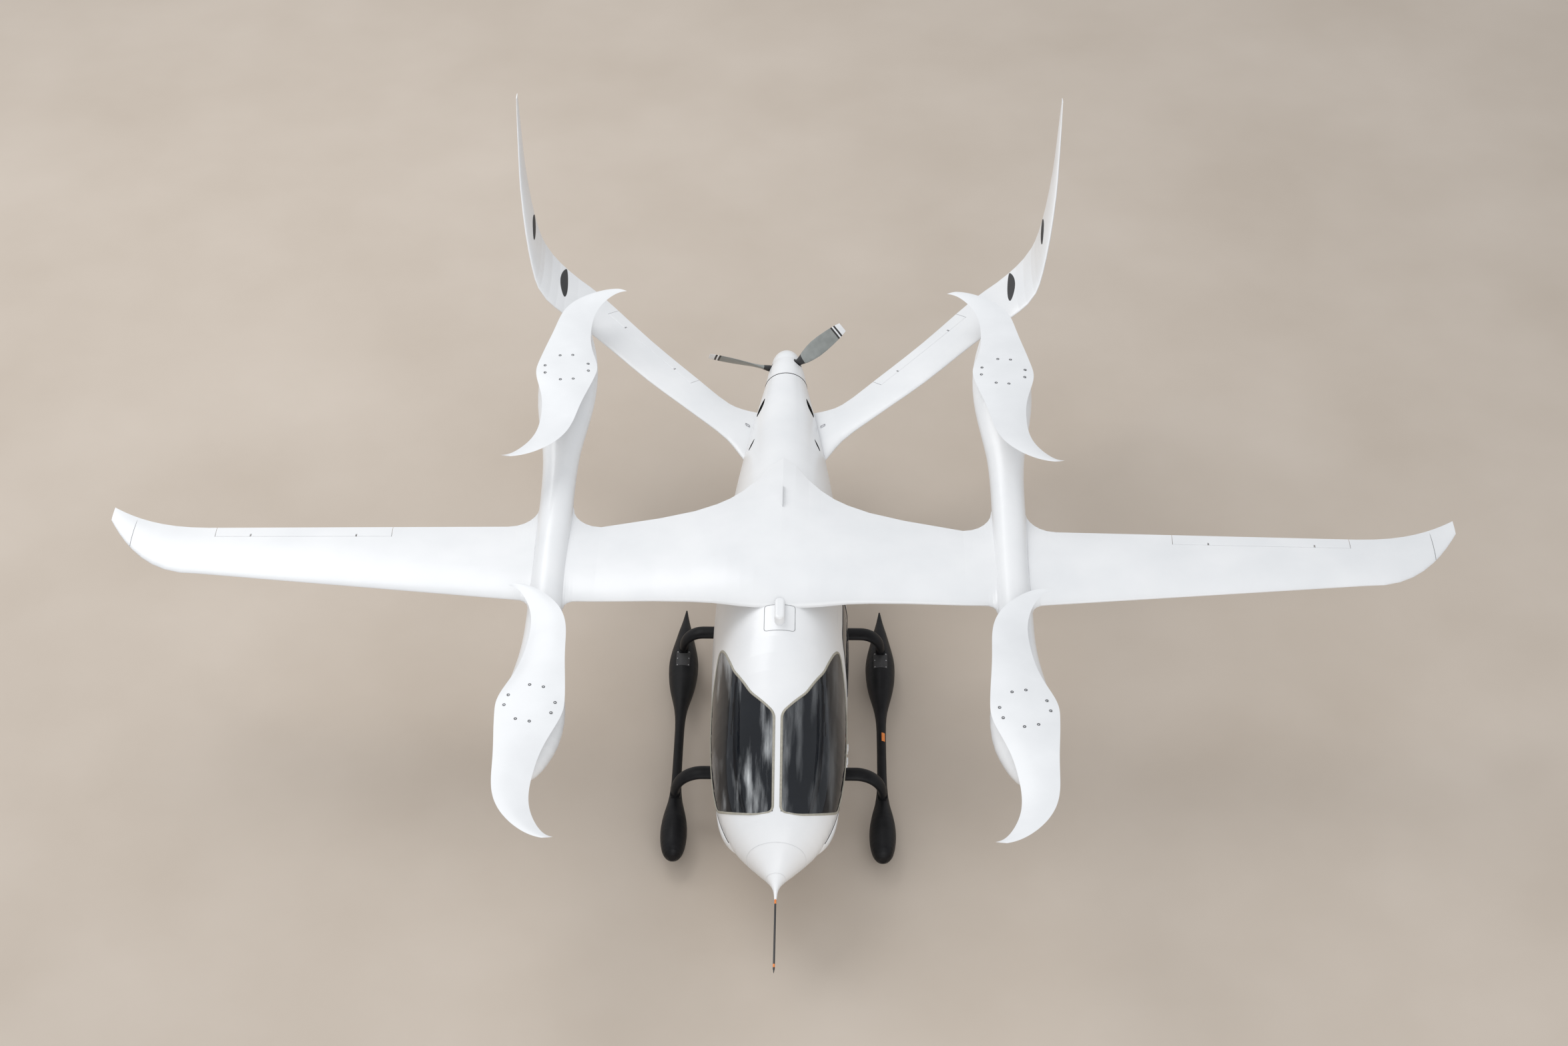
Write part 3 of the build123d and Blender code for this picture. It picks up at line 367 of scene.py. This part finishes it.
# smooth curve through table values: between two values a cubic that leaves and arrives at the mean slopes
def curveThrough(xs, ys):
    slopes = np.empty(len(xs))
    slopes[1:-1] = (ys[2:] - ys[:-2]) / (xs[2:] - xs[:-2])
    slopes[[0, -1]] = (ys[1] - ys[0]) / (xs[1] - xs[0]), (ys[-1] - ys[-2]) / (xs[-1] - xs[-2])

    def at(x):
        k = np.clip(np.searchsorted(xs, x) - 1, 0, len(xs) - 2)
        span, rise = xs[k + 1] - xs[k], ys[k + 1] - ys[k]
        t = (x - xs[k]) / span
        leave, arrive = slopes[k] * span, slopes[k + 1] * span
        return ys[k] + t * leave + t**2 * (3 * rise - 2 * leave - arrive) + t**3 * (leave + arrive - 2 * rise)
    return at


# fuselage stations: y, half width, low z, widest z, top z
hullRows = np.array([
    (-4.70, 0.013, 1.077, 1.090, 1.103), (-4.56, 0.032, 1.054, 1.089, 1.124), (-4.43, 0.098, 0.985, 1.088, 1.190),
    (-4.25, 0.240, 0.855, 1.095, 1.325), (-3.95, 0.488, 0.715, 1.125, 1.545), (-3.50, 0.664, 0.615, 1.190, 1.830),
    (-2.90, 0.742, 0.560, 1.270, 2.150), (-2.10, 0.760, 0.545, 1.350, 2.440), (-1.10, 0.768, 0.570, 1.420, 2.565),
    (-0.10, 0.704, 0.690, 1.530, 2.530), (1.00, 0.590, 0.980, 1.640, 2.350), (2.00, 0.440, 1.260, 1.710, 2.150),
    (3.00, 0.262, 1.488, 1.750, 2.012)])
hullHalf, hullLow, hullMid, hullTop = [curveThrough(hullRows[:, 0], hullRows[:, k]) for k in (1, 2, 3, 4)]


# skin height over a plan point: z = middle + upper height * sqrt(1 - (x / half width)^2)
def skinOver(x, y):
    ratio = np.clip(1 - (x / hullHalf(y)) ** 2, 0, 1)
    return hullMid(y) + (hullTop(y) - hullMid(y)) * np.sqrt(ratio)


# skin width beside a side-view point, from the same half ellipses
def skinBeside(y, z):
    height = np.where(z > hullMid(y), hullTop(y) - hullMid(y), hullMid(y) - hullLow(y))
    return hullHalf(y) * np.sqrt(np.clip(1 - ((z - hullMid(y)) / height) ** 2, 0, 1))


# outward direction of the skin at points on it, from the slope of the section's ellipse
def skinOutward(points):
    x, y, z = points.T
    height = np.where(z > hullMid(y), hullTop(y) - hullMid(y), hullMid(y) - hullLow(y))
    out = np.stack([x / hullHalf(y) ** 2, np.zeros_like(x), (z - hullMid(y)) / height**2], axis=1)
    return out / np.linalg.norm(out, axis=1, keepdims=True)


# even points along a polyline
def alongLine(corners, count):
    corners = np.asarray(corners, float)
    steps = np.concatenate([[0], np.cumsum(np.linalg.norm(np.diff(corners, axis=0), axis=1))])
    at = np.linspace(0, steps[-1], count)
    return np.stack([np.interp(at, steps, corners[:, k]) for k in range(corners.shape[1])], axis=1)


# closed loop evened out and rounded by a moving average over a window of points
def roundedLoop(points, count, window):
    loop = alongLine(np.concatenate([points, points[:1]]), count + 1)[:-1]
    spread = np.ones(window) / window
    padded = np.concatenate([loop[-window:], loop, loop[:window]])
    mean = np.stack([np.convolve(padded[:, k], spread, mode="same") for k in range(loop.shape[1])], axis=1)
    return mean[window:-window]


# windscreen edge: up the post, round the brow in plan, back down the sill in side view
paneEdge = {"postHalf": 0.042, "frontY": -3.895, "postTop": -2.96, "width": 0.014, "height": 0.007,
            "brow": [(0.042, -2.96), (0.30, -2.70), (0.49, -2.35), (0.605, -1.97), (0.65, -1.86)],
            "sill": [(-1.86, 1.90), (-2.40, 1.48), (-3.00, 1.27), (-3.56, 1.19), (-3.895, 1.53)]}
postLine = alongLine([(paneEdge["postHalf"], paneEdge["frontY"]), (paneEdge["postHalf"], paneEdge["postTop"])], 60)
browLine = alongLine(paneEdge["brow"], 80)[1:]
sillLine = alongLine(paneEdge["sill"], 160)
planLine = np.concatenate([postLine, browLine])
paneLoop = np.concatenate([
    np.column_stack([planLine, skinOver(planLine[:, 0], planLine[:, 1])]),
    np.column_stack([skinBeside(sillLine[:, 0], sillLine[:, 1]), sillLine])])
paneLoop = roundedLoop(paneLoop, 420, 11)
paneLoop += 0.001 * skinOutward(paneLoop)
gasketLoop = ovalLoop(paneEdge["width"], paneEdge["height"], 10)
makePiece("windscreenGaskets", [
    sweep(loop, skinOutward(loop), gasketLoop, closed=True) for loop in (paneLoop, mirrorX(paneLoop))],
    "airframe", gasketBeige)

# door window gasket, a thin oval carried round the window's edge
doorEdge = {"window": [(-2.08, 1.42), (-0.90, 1.42), (-0.90, 1.89), (-1.56, 1.88), (-1.88, 1.64)],
            "width": 0.009, "height": 0.005}
windowLoop = roundedLoop(np.asarray(doorEdge["window"], float), 260, 17)
windowLoop = np.column_stack([skinBeside(windowLoop[:, 0], windowLoop[:, 1]), windowLoop])
windowProfile = ovalLoop(doorEdge["width"], doorEdge["height"], 10)
makePiece("doorWindowGasket", [sweep(windowLoop, skinOutward(windowLoop), windowProfile, closed=True)],
          "door", sealRubber)

# ring seams: two pale filler lines round the nose, and one black ring of painted shade in the gap where the spinner
# meets the tail cone
ringSeams = [{"name": "noseSeams", "places": (-4.42, -4.16), "half": 0.004, "proud": 0.0012, "finish": seamPale},
             {"name": "spinnerGapRing", "places": (3.002,), "half": 0.006, "proud": 0.004, "finish": paintedShadeBlack}]
turnAngle = np.linspace(0, 2 * np.pi, 120, endpoint=False)
for seam in ringSeams:
    seamGrids = []
    for seamY in seam["places"]:
        stationY = min(seamY, 3.0)
        middle = hullMid(stationY)
        height = np.where(np.sin(turnAngle) > 0, hullTop(stationY) - middle, middle - hullLow(stationY))
        ring = np.column_stack([hullHalf(stationY) * np.cos(turnAngle), np.full(120, seamY),
                                middle + height * np.sin(turnAngle)])
        outward = np.column_stack([np.cos(turnAngle), np.zeros(120), np.sin(turnAngle)])
        seamGrids.append(sweep(ring, outward, ovalLoop(seam["half"], seam["proud"], 6), closed=True))
    makePiece(seam["name"], seamGrids, "airframe", seam["finish"])


# point on the lower half of the hull at an angle round the section, grown by an offset
def lowerSkin(y, angle, proud):
    return np.stack([(hullHalf(y) + proud) * np.cos(angle), y,
                     hullMid(y) + (hullMid(y) - hullLow(y) + proud) * np.sin(angle)], axis=-1)


# nose cheeks: low blisters on the hull sides, skin + bulge * (sin over length * sin over girth)^0.6
cheek = {"y0": -3.90, "y1": -3.34, "low": -52.0, "high": -12.0, "bulge": 0.056, "sunk": 0.004, "root": -0.02,
         "seamHalf": 0.007, "seamHigh": 0.005}
u = np.linspace(0, 1, 40)[:, None]
v = np.linspace(0, 1, 24)[None]
y = cheek["y0"] + (cheek["y1"] - cheek["y0"]) * u + 0 * v
girth = np.radians(cheek["low"] + (cheek["high"] - cheek["low"]) * v) + 0 * u
rise = cheek["bulge"] * (np.sin(np.pi * u**0.7) * np.sin(np.pi * v**1.6)) ** 0.6 - cheek["sunk"]
cheekSkin = lowerSkin(y, girth, rise)
makePiece("noseCheeks", bothSides(layered(cheekSkin, lowerSkin(y, girth, cheek["root"]))),
          "airframe", gelcoatWhite)
cheekEdge = cheekSkin[2:-2, -1] + 0.004 * skinOutward(cheekSkin[2:-2, -1])
cheekLoop = ovalLoop(cheek["seamHalf"], cheek["seamHigh"], 8)
makePiece("cheekSeams", [sweep(line, skinOutward(line), cheekLoop) for line in (cheekEdge, mirrorX(cheekEdge))],
          "airframe", sealRubber)

# battery fairing: pan under the battery, depth + slope * distance outside its plan with a rounded foot,
# kept just inside the belly where it has run out
fairing = {"halfX": 0.41, "front": -2.51, "rear": -0.59, "depth": 0.630, "sideSlope": 2.5, "endSlope": 0.95,
           "foot": 0.02, "sheet": 0.012, "tuck": 0.03}
u = np.linspace(-0.66, 0.66, 90)[:, None]
v = np.linspace(-2.75, -0.25, 120)[None]
outX = np.clip(np.abs(u) - fairing["halfX"], 0, None) + 0 * v
outY = np.clip(np.maximum(fairing["front"] - v, v - fairing["rear"]), 0, None) + 0 * u
rise = np.hypot(fairing["sideSlope"] * outX, fairing["endSlope"] * outY)
pan = fairing["depth"] + np.sqrt(rise**2 + fairing["foot"] ** 2) - fairing["foot"]
bellyZ = hullMid(v) - (hullMid(v) - hullLow(v)) * np.sqrt(np.clip(1 - (u / hullHalf(v)) ** 2, 0, 1))
under = np.minimum(pan, bellyZ + fairing["tuck"])
panLayers = [np.stack([u + 0 * v, v + 0 * u, under + lift], axis=-1) for lift in (0, fairing["sheet"])]
makePiece("batteryFairing", [gridMesh(layered(*panLayers), closeV=True)],
          "airframe", gelcoatWhite)
print("glazing seals, seams and fairings")

# rotor bolts: four pairs about each hub, in a cup with a domed cap
rotorBolts = {"ring": 0.255, "pair": 0.075, "turn": 67.0, "cup": 0.017, "cap": 0.0105, "probe": 0.2,
              "cupShape": [(0, -0.012), (1, -0.012), (1, 0.0022), (0.9, 0.003), (0.78, 0.002),
                           (0.74, -0.004), (0, -0.004)],
              "capShape": [(0, -0.004), (1, -0.004), (1, 0.0005), (0.8, 0.002), (0.45, 0.0022),
                           (0.42, -0.001), (0, -0.001)]}
# hub x, y, z, lean back and yaw in degrees, hand
rotorPlaces = {
    "front_left": (2.59, -3.49, 2.75, 0.0, -11.0, -1), "front_right": (-2.59, -3.49, 2.75, 0.0, 11.0, 1),
    "rear_left": (2.59, 1.81, 2.998, 5.0, 18.0, 1), "rear_right": (-2.59, 1.81, 2.998, 5.0, -18.0, -1)}
for place, (hubX, hubY, hubZ, lean, yaw, hand) in rotorPlaces.items():
    quarter = np.radians(rotorBolts["turn"] + 90 * np.arange(4))[:, None]
    offset = np.array([-rotorBolts["pair"], rotorBolts["pair"]])[None]
    localX = (rotorBolts["ring"] * np.cos(quarter) - offset * np.sin(quarter)).ravel() * hand
    localY = (rotorBolts["ring"] * np.sin(quarter) + offset * np.cos(quarter)).ravel()
    yawRad, leanRad = math.radians(yaw), math.radians(lean)
    flatX = localX * math.cos(yawRad) - localY * math.sin(yawRad)
    flatY = localX * math.sin(yawRad) + localY * math.cos(yawRad)
    up = np.array([0.0, math.sin(leanRad), math.cos(leanRad)])
    back = np.array([0.0, math.cos(leanRad), -math.sin(leanRad)])
    centres = np.array([hubX, hubY, hubZ]) + flatX[:, None] * np.array([1.0, 0, 0]) + flatY[:, None] * back
    blade = nodes["rotor_" + place].data
    tree = BVHTree.FromPolygons([v.co for v in blade.vertices], [f.vertices for f in blade.polygons])
    beside = rotorBolts["cup"] * np.array([(1.0, 0, 0), (-1.0, 0, 0), back, -back])
    probe = rotorBolts["probe"]
    hits = [[tree.ray_cast(Vector(c + b + probe * up), Vector(-up), 2 * probe)[3] or probe for b in beside]
            for c in centres]
    centres += (probe - np.array(hits).min(axis=1))[:, None] * up
    cupProfile = np.array(rotorBolts["cupShape"]) * (rotorBolts["cup"], 1)
    capProfile = np.array(rotorBolts["capShape"]) * (rotorBolts["cap"], 1)
    makePiece("rotorBoltCups_" + place, [turned(c, up, cupProfile) for c in centres],
              "rotor_" + place, sealRubber)
    makePiece("rotorBolts_" + place, [turned(c, up, capProfile, 12) for c in centres],
              "rotor_" + place, hubAlloy)
print("rotor bolts")

# tail panel stations: x, leading edge y, z, chord, half thickness, lean of the section in degrees
tailRows = np.array([
    (0.180, 1.230, 1.685, 1.350, 0.062, 16), (0.450, 1.545, 1.765, 1.000, 0.054, 17),
    (0.700, 1.900, 1.845, 0.690, 0.046, 17), (1.100, 2.215, 1.970, 0.700, 0.040, 17),
    (1.700, 2.655, 2.155, 0.785, 0.040, 17), (2.360, 3.225, 2.360, 0.870, 0.041, 18),
    (2.800, 3.520, 2.520, 0.900, 0.040, 26), (3.090, 3.670, 2.780, 0.950, 0.038, 58),
    (3.220, 4.000, 3.100, 0.800, 0.034, 78), (3.340, 4.580, 3.600, 0.590, 0.026, 83),
    (3.400, 5.140, 4.050, 0.340, 0.015, 84), (3.435, 5.540, 4.345, 0.130, 0.006, 84)])
tailCurves = [curveThrough(tailRows[:, 0], tailRows[:, k]) for k in range(1, 6)]


# point on the upper and inner side: leading edge + c chords along Y + thickness along the section's up
def tailSkin(x, c, proud):
    lead, z, chord, thick, lean = [curve(x) for curve in tailCurves]
    nose = np.sqrt(np.clip(1 - ((0.36 - c) / 0.36) ** 2, 0, 1))
    tail = 1 - ((c - 0.36) / 0.64) ** 2 * 0.93
    lift = thick * np.where(c < 0.36, nose, tail) + proud
    lean = np.radians(lean)
    return np.stack([x - lift * np.sin(lean), lead + c * chord, z + lift * np.cos(lean)], axis=-1)


# crescent gap seals where the moving surfaces end, each a lens between two chord shares
gapSeals = [{"x": 2.815, "from": 0.30, "to": 0.985, "half": 0.05, "bow": 0.02},
            {"x": 3.22, "from": 0.34, "to": 0.985, "half": 0.018, "bow": 0.007}]
sealGrids = []
for seal in gapSeals:
    u = np.linspace(0, 1, 40)[:, None]
    v = np.linspace(-1, 1, 9)[None]
    c = seal["from"] + (seal["to"] - seal["from"]) * u + 0 * v
    x = seal["x"] + seal["half"] * np.sin(np.pi * u**0.8) ** 0.7 * v + seal["bow"] * np.sin(np.pi * u)
    crown = tailSkin(x, c, 0.002 + 0.006 * (1 - v**2) * np.sin(np.pi * u))
    below = tailSkin(x, c, -0.006 + 0 * v)
    sealGrids += bothSides(layered(crown, below))
makePiece("tailGapSeals", sealGrids, "airframe", sealRubber)

# tail cone scoops: black lenses of painted shade laid on the skin where the scoop openings are shaded, half width =
# wide * sin(pi * u^0.8), turned across the flow
scoops = [{"y0": 2.27, "y1": 2.56, "angle": 35.0, "turn": -6.0, "wide": 7.0},
          {"y0": 1.53, "y1": 1.69, "angle": 38.0, "turn": -4.0, "wide": 2.2}]
scoopGrids = []
for scoop in scoops:
    u = np.linspace(0, 1, 14)[:, None]
    v = np.linspace(-1, 1, 7)[None]
    y = scoop["y0"] + (scoop["y1"] - scoop["y0"]) * u + 0 * v
    wide = scoop["wide"] * v * np.sin(np.pi * (0.04 + 0.92 * u**0.8))
    angle = np.radians(scoop["angle"] - scoop["turn"] * (2 * u - 1) + wide)
    grow = [1 + 0.0025 / hullHalf(y), 1 - 0.012 / hullHalf(y)]
    tall = hullTop(y) - hullMid(y)
    layers = [np.stack([g * hullHalf(y) * np.cos(angle), y, hullMid(y) + g * tall * np.sin(angle)], axis=-1)
              for g in grow]
    scoopGrids += bothSides(layered(*layers))
makePiece("tailScoops", scoopGrids, "airframe", paintedShadeBlack)

# root fittings: square frames lying on the tail panels beside the hull
fitting = {"x": 0.475, "share": 0.66, "halfX": 0.024, "halfShare": 0.019, "tube": 0.005}
corners = np.array([(-1, -1), (1, -1), (1, 1), (-1, 1)], float)
frameLine = roundedLoop(corners, 64, 7)
frameLine = tailSkin(fitting["x"] + fitting["halfX"] * frameLine[:, 0],
                     fitting["share"] + fitting["halfShare"] * frameLine[:, 1], 0.003)
upright = np.tile([0.0, 0.0, 1.0], (64, 1))
frameTube = ovalLoop(fitting["tube"], fitting["tube"], 8)
makePiece("tailRootFittings", [sweep(line, upright, frameTube, closed=True)
                               for line in (frameLine, mirrorX(frameLine))],
          "airframe", axleSteel)
print("tail seals, scoops and fittings")

# skid surface stations: y, half width, low z, high z
skidRows = np.array([
    (-3.43, 0.042, 0.222, 0.318), (-3.395, 0.088, 0.168, 0.372), (-3.32, 0.122, 0.124, 0.412),
    (-3.20, 0.143, 0.099, 0.434), (-3.06, 0.150, 0.093, 0.441), (-2.92, 0.140, 0.104, 0.437),
    (-2.78, 0.116, 0.138, 0.421), (-2.64, 0.084, 0.194, 0.403), (-2.48, 0.064, 0.238, 0.392),
    (-2.30, 0.056, 0.256, 0.387), (-2.00, 0.054, 0.260, 0.385), (-1.65, 0.054, 0.260, 0.385),
    (-1.40, 0.058, 0.250, 0.388), (-1.20, 0.076, 0.222, 0.398), (-1.04, 0.104, 0.182, 0.414),
    (-0.88, 0.136, 0.142, 0.434), (-0.72, 0.160, 0.110, 0.452), (-0.56, 0.172, 0.094, 0.464),
    (-0.40, 0.172, 0.090, 0.467), (-0.25, 0.154, 0.104, 0.456), (-0.09, 0.122, 0.140, 0.434),
    (0.09, 0.084, 0.196, 0.406), (0.28, 0.042, 0.256, 0.362), (0.47, 0.009, 0.302, 0.328)])
skidHalf, skidLow, skidHigh = [curveThrough(skidRows[:, 0], skidRows[:, k]) for k in (1, 2, 3)]
skidX = 1.17


# point on a skid: ellipse of the station, grown by an offset
def skidSkin(y, angle, proud):
    tall = (skidHigh(y) - skidLow(y)) / 2
    return np.stack([skidX + (skidHalf(y) + proud) * np.cos(angle), y + 0 * angle,
                     (skidHigh(y) + skidLow(y)) / 2 + (tall + proud) * np.sin(angle)], axis=-1)


# patch between two stations and two angles: outer layer over an inner one, closed at its ends
def skidPatch(patch):
    u = np.linspace(patch["y0"], patch["y1"], 16)[:, None]
    v = np.radians(np.linspace(patch["a0"], patch["a1"], 15))[None]
    return layered(skidSkin(u, v, patch["proud"]), skidSkin(u, v, -0.004))


accessPlate = {"y0": -0.60, "y1": -0.36, "a0": 62, "a1": 118, "proud": 0.003}
makePiece("skidAccessPlates", bothSides(skidPatch(accessPlate)), "airframe", sealRubber)
plateBolts = {"y": [-0.585, -0.48, -0.375], "angles": [68, 112],
              "profile": [(0, -0.003), (0.007, -0.003), (0.007, 0.002), (0.004, 0.0035), (0, 0.0035)]}
boltAngle = np.radians(np.repeat(plateBolts["angles"], 3))
boltSpots = skidSkin(np.array(plateBolts["y"] * 2), boltAngle, accessPlate["proud"])
makePiece("skidPlateBolts", [turned(spot, (0, 0, 1), plateBolts["profile"], 10)
                             for spot in np.concatenate([boltSpots, mirrorX(boltSpots)])],
          "airframe", axleSteel)

# orange marker patch on top of the left beam
marker = {"y0": -1.72, "y1": -1.59, "a0": 45, "a1": 88, "proud": 0.0025}
makePiece("skidMarker", [gridMesh(skidPatch(marker), closeV=True)], "airframe", signalOrange)
print("skid details")


# signed power of a wave, which squares up an oval
def soft(wave, power):
    return np.sign(wave) * np.abs(wave) ** power


# cushion: superellipsoid with a crown on top, sides pulled in between corners, and sewn channels pressed in
def cushionGrid(centre, halfSize, tilt, channels, crown=0.014):
    u = np.linspace(-np.pi, np.pi, 120, endpoint=False)[None]
    v = np.linspace(-np.pi / 2, np.pi / 2, 48)[:, None]
    x, y = soft(np.cos(v), 0.34) * soft(np.cos(u), 0.34), soft(np.cos(v), 0.34) * soft(np.sin(u), 0.34)
    z = soft(np.sin(v), 0.6) + 0 * u
    lift = halfSize[2] * z + np.where(z > 0, crown * (1 - x**2) * (1 - y**2), 0)
    for channel in channels:
        lift -= np.where(z > 0, 0.009 * np.exp(-(((y - channel) * halfSize[1]) / 0.009) ** 2), 0)
    side, fore = x * halfSize[0] * (1 - 0.035 * (1 - y**2)), y * halfSize[1] * (1 - 0.03 * (1 - x**2))
    turn = math.radians(tilt)
    points = np.stack([centre[0] + side, centre[1] + fore * math.cos(turn) - lift * math.sin(turn),
                       centre[2] + fore * math.sin(turn) + lift * math.cos(turn)], axis=-1)
    return gridMesh(points, closeV=True)


# seat shell: rounded plate carried along the seat's side profile, on a pedestal that narrows to the floor
def seatShell(centreX, halfWide, frontY, rearY, topZ, pedestalX, pedestalHalf):
    route = alongLine([(frontY, 1.055), (rearY - 0.06, 1.05), (rearY - 0.02, 1.09), (rearY + 0.08, topZ)], 40)
    spread = np.ones(5) / 5
    route[2:-2] = np.stack([np.convolve(route[:, k], spread, mode="valid") for k in (0, 1)], axis=1)
    path = np.column_stack([np.full(40, centreX), route])
    plate = soft4(halfWide, 0.018)
    ways = np.gradient(path, axis=0)
    lift = np.stack([np.zeros(40), -ways[:, 2], ways[:, 1]], axis=1)
    rise = np.array([(0.80, 1.0), (0.815, 1.0), (0.86, 0.72), (1.00, 0.70), (1.045, 0.9), (1.05, 0.9)])
    around = soft4(pedestalHalf, (rearY - frontY) * 0.34)
    pedestal = np.stack([pedestalX + rise[:, 1:] * around[None, :, 0],
                         (frontY + rearY) / 2 + rise[:, 1:] * around[None, :, 1],
                         rise[:, :1] + 0 * around[None, :, 0]], axis=-1)
    return [sweep(path, lift, plate), gridMesh(capped(pedestal), closeV=True)]


# rounded rectangle loop from a fourth-power oval
def soft4(a, b):
    t = np.linspace(0, 2 * np.pi, 48, endpoint=False)
    return np.stack([a * soft(np.cos(t), 0.5), b * soft(np.sin(t), 0.5)], axis=1)


seats = [
    {"name": "crewSeat", "node": "crew_seats", "places": (-0.30, 0.30), "half": 0.205,
     "pedestals": (-0.30, 0.30), "pedestalHalf": 0.165, "front": -2.95, "rear": -2.45, "top": 1.74},
    {"name": "bench", "node": "passenger_bench", "places": (-0.34, 0.0, 0.34), "half": 0.165,
     "pedestals": (-0.15, 0.0, 0.15), "pedestalHalf": 0.16, "front": -1.07, "rear": -0.53, "top": 1.76}]
for seat in seats:
    shellGrids, padGrids = [], []
    depth = seat["rear"] - seat["front"]
    for place, pedestalX in zip(seat["places"], seat["pedestals"]):
        wide, front, rear = seat["half"], seat["front"], seat["rear"]
        shellGrids += seatShell(place, wide, front, rear, seat["top"], pedestalX, seat["pedestalHalf"])
        padGrids += [
            cushionGrid((place, front + depth * 0.42, 1.115), (wide * 0.95, depth * 0.43, 0.045), 0, (-0.55, 0.0, 0.55)),
            cushionGrid((place, rear - 0.035, 1.36), (wide * 0.93, 0.23, 0.045), 81, (-0.5, 0.0, 0.5)),
            cushionGrid((place, rear + 0.01, 1.675), (wide * 0.62, 0.075, 0.042), 81, ())]
    shells = makePiece(seat["name"] + "Shells", shellGrids, "airframe", cabinTrim)
    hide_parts(seat["node"])
    pads = makePiece(seat["name"] + "Cushions", padGrids, "airframe", seatCloth)
print("seats")

# wing top: chord line + upper thickness times the section shape, for the part outside the boom
wingRows = {"boomX": 2.783, "kinkX": 6.5, "tipX": 7.62, "boom": (-1.610, -0.385, 2.452, 0.086),
            "kink": (-1.310, -0.552, 2.532, 0.050), "tip": (-0.480, -0.262, 2.568, 0.010)}


def wingTop(x, c):
    inner = np.clip((x - wingRows["boomX"]) / (wingRows["kinkX"] - wingRows["boomX"]), 0, 1)
    outer = np.clip((x - wingRows["kinkX"]) / (wingRows["tipX"] - wingRows["kinkX"]), 0, 1) ** 2.4
    stations = zip(wingRows["boom"], wingRows["kink"], wingRows["tip"])
    lead, trail, z, upper = [a + (b - a) * inner + (d - b) * outer for a, b, d in stations]
    shape = np.where(c < 0.36, np.sqrt(np.clip(1 - ((0.36 - c) / 0.36) ** 2, 0, 1)), 1 - ((c - 0.36) / 0.64) ** 2)
    return np.stack([x + 0 * c, lead + c * (trail - lead), z + upper * shape + 0.0008], axis=-1)


# thin filler lines on the white skin: wing-tip joints and the antenna panel
seamLines = {"tipX": 7.33, "half": 0.003, "proud": 0.0012, "panelHalf": 0.17, "panelFront": -2.03, "panelRear": -1.69}
tipLine = wingTop(np.full(50, seamLines["tipX"]), np.linspace(0.01, 0.99, 50))
upward = np.tile([0.0, 0.0, 1.0], (50, 1))
panelCorners = np.array([(-1, 0), (1, 0), (1, 1), (-1, 1)], float)
panelLoop = roundedLoop(np.column_stack([
    panelCorners[:, 0] * seamLines["panelHalf"],
    seamLines["panelFront"] + panelCorners[:, 1] * (seamLines["panelRear"] - seamLines["panelFront"])]), 160, 9)
panelLoop = np.column_stack([panelLoop, skinOver(panelLoop[:, 0], panelLoop[:, 1])])
lineLoop = ovalLoop(seamLines["half"], seamLines["proud"], 6)
makePiece("skinSeams", [sweep(tipLine, upward, lineLoop), sweep(mirrorX(tipLine), upward, lineLoop),
                        sweep(panelLoop, skinOutward(panelLoop), lineLoop, closed=True)],
          "airframe", seamGrey)

# cockpit displays: shallow pillows set in the panel's three recesses
displays = {"places": (-0.30, 0.0, 0.30), "half": (0.125, 0.08), "z": 1.225, "y": -3.306, "crown": 0.004}
u = np.linspace(-1, 1, 20)[:, None]
v = np.linspace(-1, 1, 14)[None]
screenGrids = []
for place in displays["places"]:
    front = np.stack([place + displays["half"][0] * u + 0 * v,
                      displays["y"] + displays["crown"] * (1 - u**2) * (1 - v**2),
                      displays["z"] + displays["half"][1] * v + 0 * u], axis=-1)
    back = front.copy()
    back[..., 1] = displays["y"] - 0.002
    screenGrids.append(gridMesh(layered(front, back), closeV=True))
makePiece("cockpitDisplays", screenGrids, "airframe", displayGlass)
print("seams and displays")
